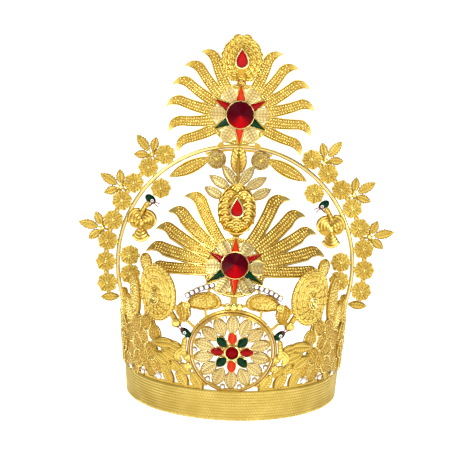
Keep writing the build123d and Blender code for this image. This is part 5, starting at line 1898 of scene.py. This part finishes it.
@dataclass
class Birds:
    """Two birds beside the medallion and two inside the arch."""

    arch: Arch
    neck_radius: float = 27.0
    neck_from: float = 77.0
    neck_to: float = 97.0
    head_radius: float = 27.7
    head: Point = (2.4, 3.6)
    low_head_at: float = 70.6
    high_in: float = 6.4
    lobe: float = 5.2
    from_end: float = 41.3       # along the arch, from its end to the upper bird's body
    neck_length: float = 13.75
    high_head_at: float = 16.1   # along the arch from the body to the head
    tail: tuple[DiscRow, ...] = (
        DiscRow(37.6, 0.333, 6.2, 0.050, -8),
        DiscRow(30.6, 0.325, 4.2, 0.046, 12),
        DiscRow(33.6, 0.252, 5.3, 0.050, 22),
        DiscRow(38.4, 0.206, 5.1, 0.050, 34),
    )

    def build(self) -> None:
        """Lay the lower and the upper birds."""
        self.build_low()
        self.build_high()

    def build_low(self) -> None:
        """Bird beside the medallion, with a scaly body and a ribbed tail."""
        work = Relief()
        for row in self.tail:
            middle = FRONT.spot(row.at, row.up)
            half = (FRONT.radius_at(middle[1]) * math.sin(math.radians(row.wide)), row.tall * FRONT.height)
            along = 90 - row.turn
            root = polar(-half[0], along, middle)
            work.leaf(2 * half[0], 2 * half[1], root, along, lift=1.0, veins=12, slot=VEINED)
        neck = arc_points(self.neck_radius, self.neck_from, self.neck_to, 10, MEDAL_CENTRE)
        self.lay_neck(work, neck, 1.5)
        at = polar(self.neck_radius, self.neck_to + 1, MEDAL_CENTRE)
        for i, turn in enumerate((40, 75, 110, 145)):
            root = polar(0.6 * i, 100, at)
            work.shell(5.4 - 0.3 * i, root, turn, lift=1.2, spread=52, slot=VEINED, columns=8)
        work.place_pair("low_bird_work", replace(FRONT, base=1.4))
        spot = polar(self.head_radius, self.low_head_at, MEDAL_CENTRE)
        surface = replace(FRONT, base=0.2)
        self.build_head("low_peacock_head", surface, spot, axis=54.0, eye=0.4, beak=172.0, lines=48.0)

    def build_high(self) -> None:
        """Bird inside the arch, with three ribbed lobes."""
        work = Relief()
        neck = self.arch.radius - self.high_in
        base = self.arch.angle(neck, self.from_end)
        reach = self.arch.radius - self.arch.wire / 2 - self.arch.seat - 1.55 * self.lobe
        middle = Vector(polar(reach, base))
        for across, up, turn in ((0.1, 0.35, -60), (-0.1, 0.45, 56), (0.05, 0.05, 180)):
            root = middle + Vector((across, up)) * self.lobe
            size = self.lobe * 1.86
            work.shell(size, tuple(root), turn, lift=1.7, spread=42, ridges=5, slot=SHELLS, columns=12)
        work.bead(tuple(middle + Vector((0, 1.4))), radius=1.6, height=0.6, fine=2)
        top = self.arch.angle(neck, self.from_end + self.neck_length)
        self.lay_neck(work, arc_points(neck, top, base, 14), 1.3)
        work.place_pair("high_bird_work", HALO.raised(0.9))
        at = polar(neck, self.arch.angle(neck, self.from_end + self.high_head_at))
        surface = HALO.raised(-0.9)
        self.build_head("high_peacock_head", surface, at, axis=52.0, eye=-0.7, beak=140.0, lines=-122.0)

    def lay_neck(self, work: Relief, path: Sequence[Point], radius: float) -> None:
        """Neck that thickens towards the body, with bright and dull rings in turn.

        Args:
            work: Work to add it to.
            path: Flat points from the head to the body.
            radius: Middle radius of the neck.
        """
        for i, point in enumerate(path):
            size = radius * (0.75 + 0.35 * i / (len(path) - 1))
            work.bead(point, size, height=0.2, slot=VEINED, tone=0.5 + 0.5 * (i % 2), fine=2)

    def build_head(
        self, node: str, surface: Surface, at: Point, axis: float, eye: float, beak: float, lines: float,
    ) -> None:
        """Green head with a white eye, a dark beak and a crest of two dark lines.

        Args:
            node: Node that it stands for, without the side.
            surface: What it lies on.
            at: Middle of the head.
            axis: Angle of its long axis.
            eye: Place of the eye along that axis, as a share of half its length.
            beak: Angle of the beak.
            lines: Angle of the crest.
        """
        work = Relief()
        work.disc(self.head, at, -axis, lift=2.1, segments=20, slot=HEAD, section=DOME)
        spot = polar(eye * 0.5 * self.head[1], axis, at)
        work.bead(spot, radius=0.95, height=1.9, slot=EYE, fine=2, flat=0.6)
        work.bead(spot, radius=0.5, height=2.3, slot=PUPIL, fine=2, flat=0.6)
        work.bead(polar(2.2, beak, spot), radius=0.9, height=1.2, slot=EYE, fine=2, flat=0.7)
        root = polar(0.9, beak + 90, spot)
        work.leaf(4.4, 1.5, root, beak, lift=1.7, veins=2, slot=LINE, section=DOME)
        for turn in (-14, 10):
            work.wire([spot, polar(5.2, lines + turn, spot)], radius=0.34, height=1.3, slot=LINE)
        work.place_pair(f"{node}_enamel", surface, HEAD_FINISHES, "green_enamel", node)


@dataclass
class FrameFinishes:
    """Finishes of the frame's own nodes."""

    # darker gold of the frame: painted shade in the gaps between pieces
    plates: Gold = Gold.SHADED_PLATE

    def dress(self) -> None:
        """Give each node its finish."""
        for name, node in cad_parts.items():
            node.data.materials.clear()
            node.data.materials.append(PALETTE.of(Gold.WIRE if name == "arch_wire" else self.plates))


@dataclass(frozen=True)
class Lamp:
    """Square soft light that faces the crown."""

    name: str
    place: Place                 # in metres
    side: float                  # in metres
    power: float                 # in watts

    def build(self, target: Vector) -> None:
        """Hang the light.

        Args:
            target: What it faces, in metres.
        """
        light = bpy.data.lights.new(self.name, "AREA")
        light.size = self.side
        light.energy = self.power
        lamp = bpy.data.objects.new(self.name, light)
        lamp.location = self.place
        lamp.rotation_euler = (target - Vector(self.place)).to_track_quat("-Z", "Y").to_euler()
        bpy.context.scene.collection.objects.link(lamp)


@dataclass
class Studio:
    """Pale floor, soft light and the camera."""

    target: Place = (0.0, -0.025, 0.1)
    distance: float = 1.3
    elevation: float = 13.0
    roll: float = 2.007
    lens: float = 174.6
    aim: Point = (0.00058, -0.00237)
    floor_size: float = 12.0
    floor_tone: float = 0.9
    floor_glow: float = 0.7
    world: float = 0.32
    lamps: tuple[Lamp, ...] = (
        Lamp("key", (-0.7, -1.0, 1.1), 0.4, 11.0),
        Lamp("fill", (0.9, -0.9, 0.5), 0.4, 5.0),
        Lamp("front", (0.0, -2.2, 0.45), 1.3, 8.5),
        Lamp("top", (0.1, 0.2, 1.3), 0.7, 8.0),
        Lamp("back", (-0.4, 1.1, 0.6), 0.6, 5.0),
    )

    def build(self) -> None:
        """Make the floor, the lights and the camera."""
        self.build_floor()
        world = bpy.data.worlds.new("studio")
        bpy.context.scene.world = world
        world.use_nodes = True
        background = world.node_tree.nodes["Background"]
        background.inputs["Color"].default_value = (1, 1, 1, 1)
        background.inputs["Strength"].default_value = self.world
        for lamp in self.lamps:
            lamp.build(Vector(self.target))
        self.build_camera()
        bpy.context.scene.view_settings.view_transform = "Standard"

    def build_floor(self) -> None:
        """Plain pale floor."""
        mesh = bpy.data.meshes.new("floor")
        work = bmesh.new()
        bmesh.ops.create_grid(work, x_segments=1, y_segments=1, size=self.floor_size / 2)
        work.to_mesh(mesh)
        work.free()
        floor = bpy.data.objects.new("floor", mesh)
        bpy.context.scene.collection.objects.link(floor)
        shader = Shader("pale_floor")
        tone = self.floor_tone
        shader.surface.inputs["Base Color"].default_value = (tone, tone, tone, 1)
        shader.surface.inputs["Roughness"].default_value = 0.9
        shader.surface.inputs["Emission Color"].default_value = (1, 1, 1, 1)
        shader.surface.inputs["Emission Strength"].default_value = self.floor_glow
        mesh.materials.append(shader.material)

    def build_camera(self) -> None:
        """Camera at the photograph's angle."""
        data = bpy.data.cameras.new("camera")
        data.lens = self.lens
        data.sensor_width = 36.0
        camera = bpy.data.objects.new("camera", data)
        tilt = math.radians(self.elevation)
        target = Vector(self.target)
        place = target + Vector((0, -math.cos(tilt), math.sin(tilt))) * self.distance
        upward = Vector((0, math.sin(tilt), math.cos(tilt)))
        aim = target + Vector((self.aim[0], 0, 0)) + self.aim[1] * upward
        turned = (aim - place).to_track_quat("-Z", "Y").to_matrix().to_4x4()
        rolled = turned @ Matrix.Rotation(math.radians(self.roll), 4, "Z")
        camera.matrix_world = Matrix.Translation(place) @ rolled
        bpy.context.scene.collection.objects.link(camera)
        bpy.context.scene.camera = camera


LOWER_FAN = Fan(
    name="lower_fan",
    surface=LOW_FAN,
    reach=53.0,
    feathers=(
        FeatherRow(30.5, 22.4, 34.5), FeatherRow(47.5, 38.2, 47.4), FeatherRow(64.0, 52.3, 59.2),
        FeatherRow(79.0, 66.2, 73.2), FeatherRow(95.5, 81.4, 85.4, 0.91),
    ),
)
UPPER_FAN = Fan(
    name="top_fan",
    surface=TOP_FAN,
    reach=42.0,
    feathers=(
        FeatherRow(29.0, 20.6, 34.0), FeatherRow(47.0, 37.4, 50.7), FeatherRow(65.0, 55.0, 68.0),
        FeatherRow(83.0, 73.4, 85.8), FeatherRow(102.0, 92.4, 105.8, 0.99),
        FeatherRow(120.0, 110.6, 123.2, 0.98),
    ),
)


def main() -> None:
    """Build the crown's looks, the studio and the camera."""
    logging.basicConfig(level=logging.INFO, format="%(name)s: %(message)s")
    arch = Arch()
    FrameFinishes().dress()
    for part in (
        Band(), Medallion(), Crest(), Panels(), LOWER_FAN, LeafCone(), UPPER_FAN, TopLeaf(), arch,
        Hanging(arch), Birds(arch), Studio(),
    ):
        part.build()


if __name__ == "__main__":
    main()
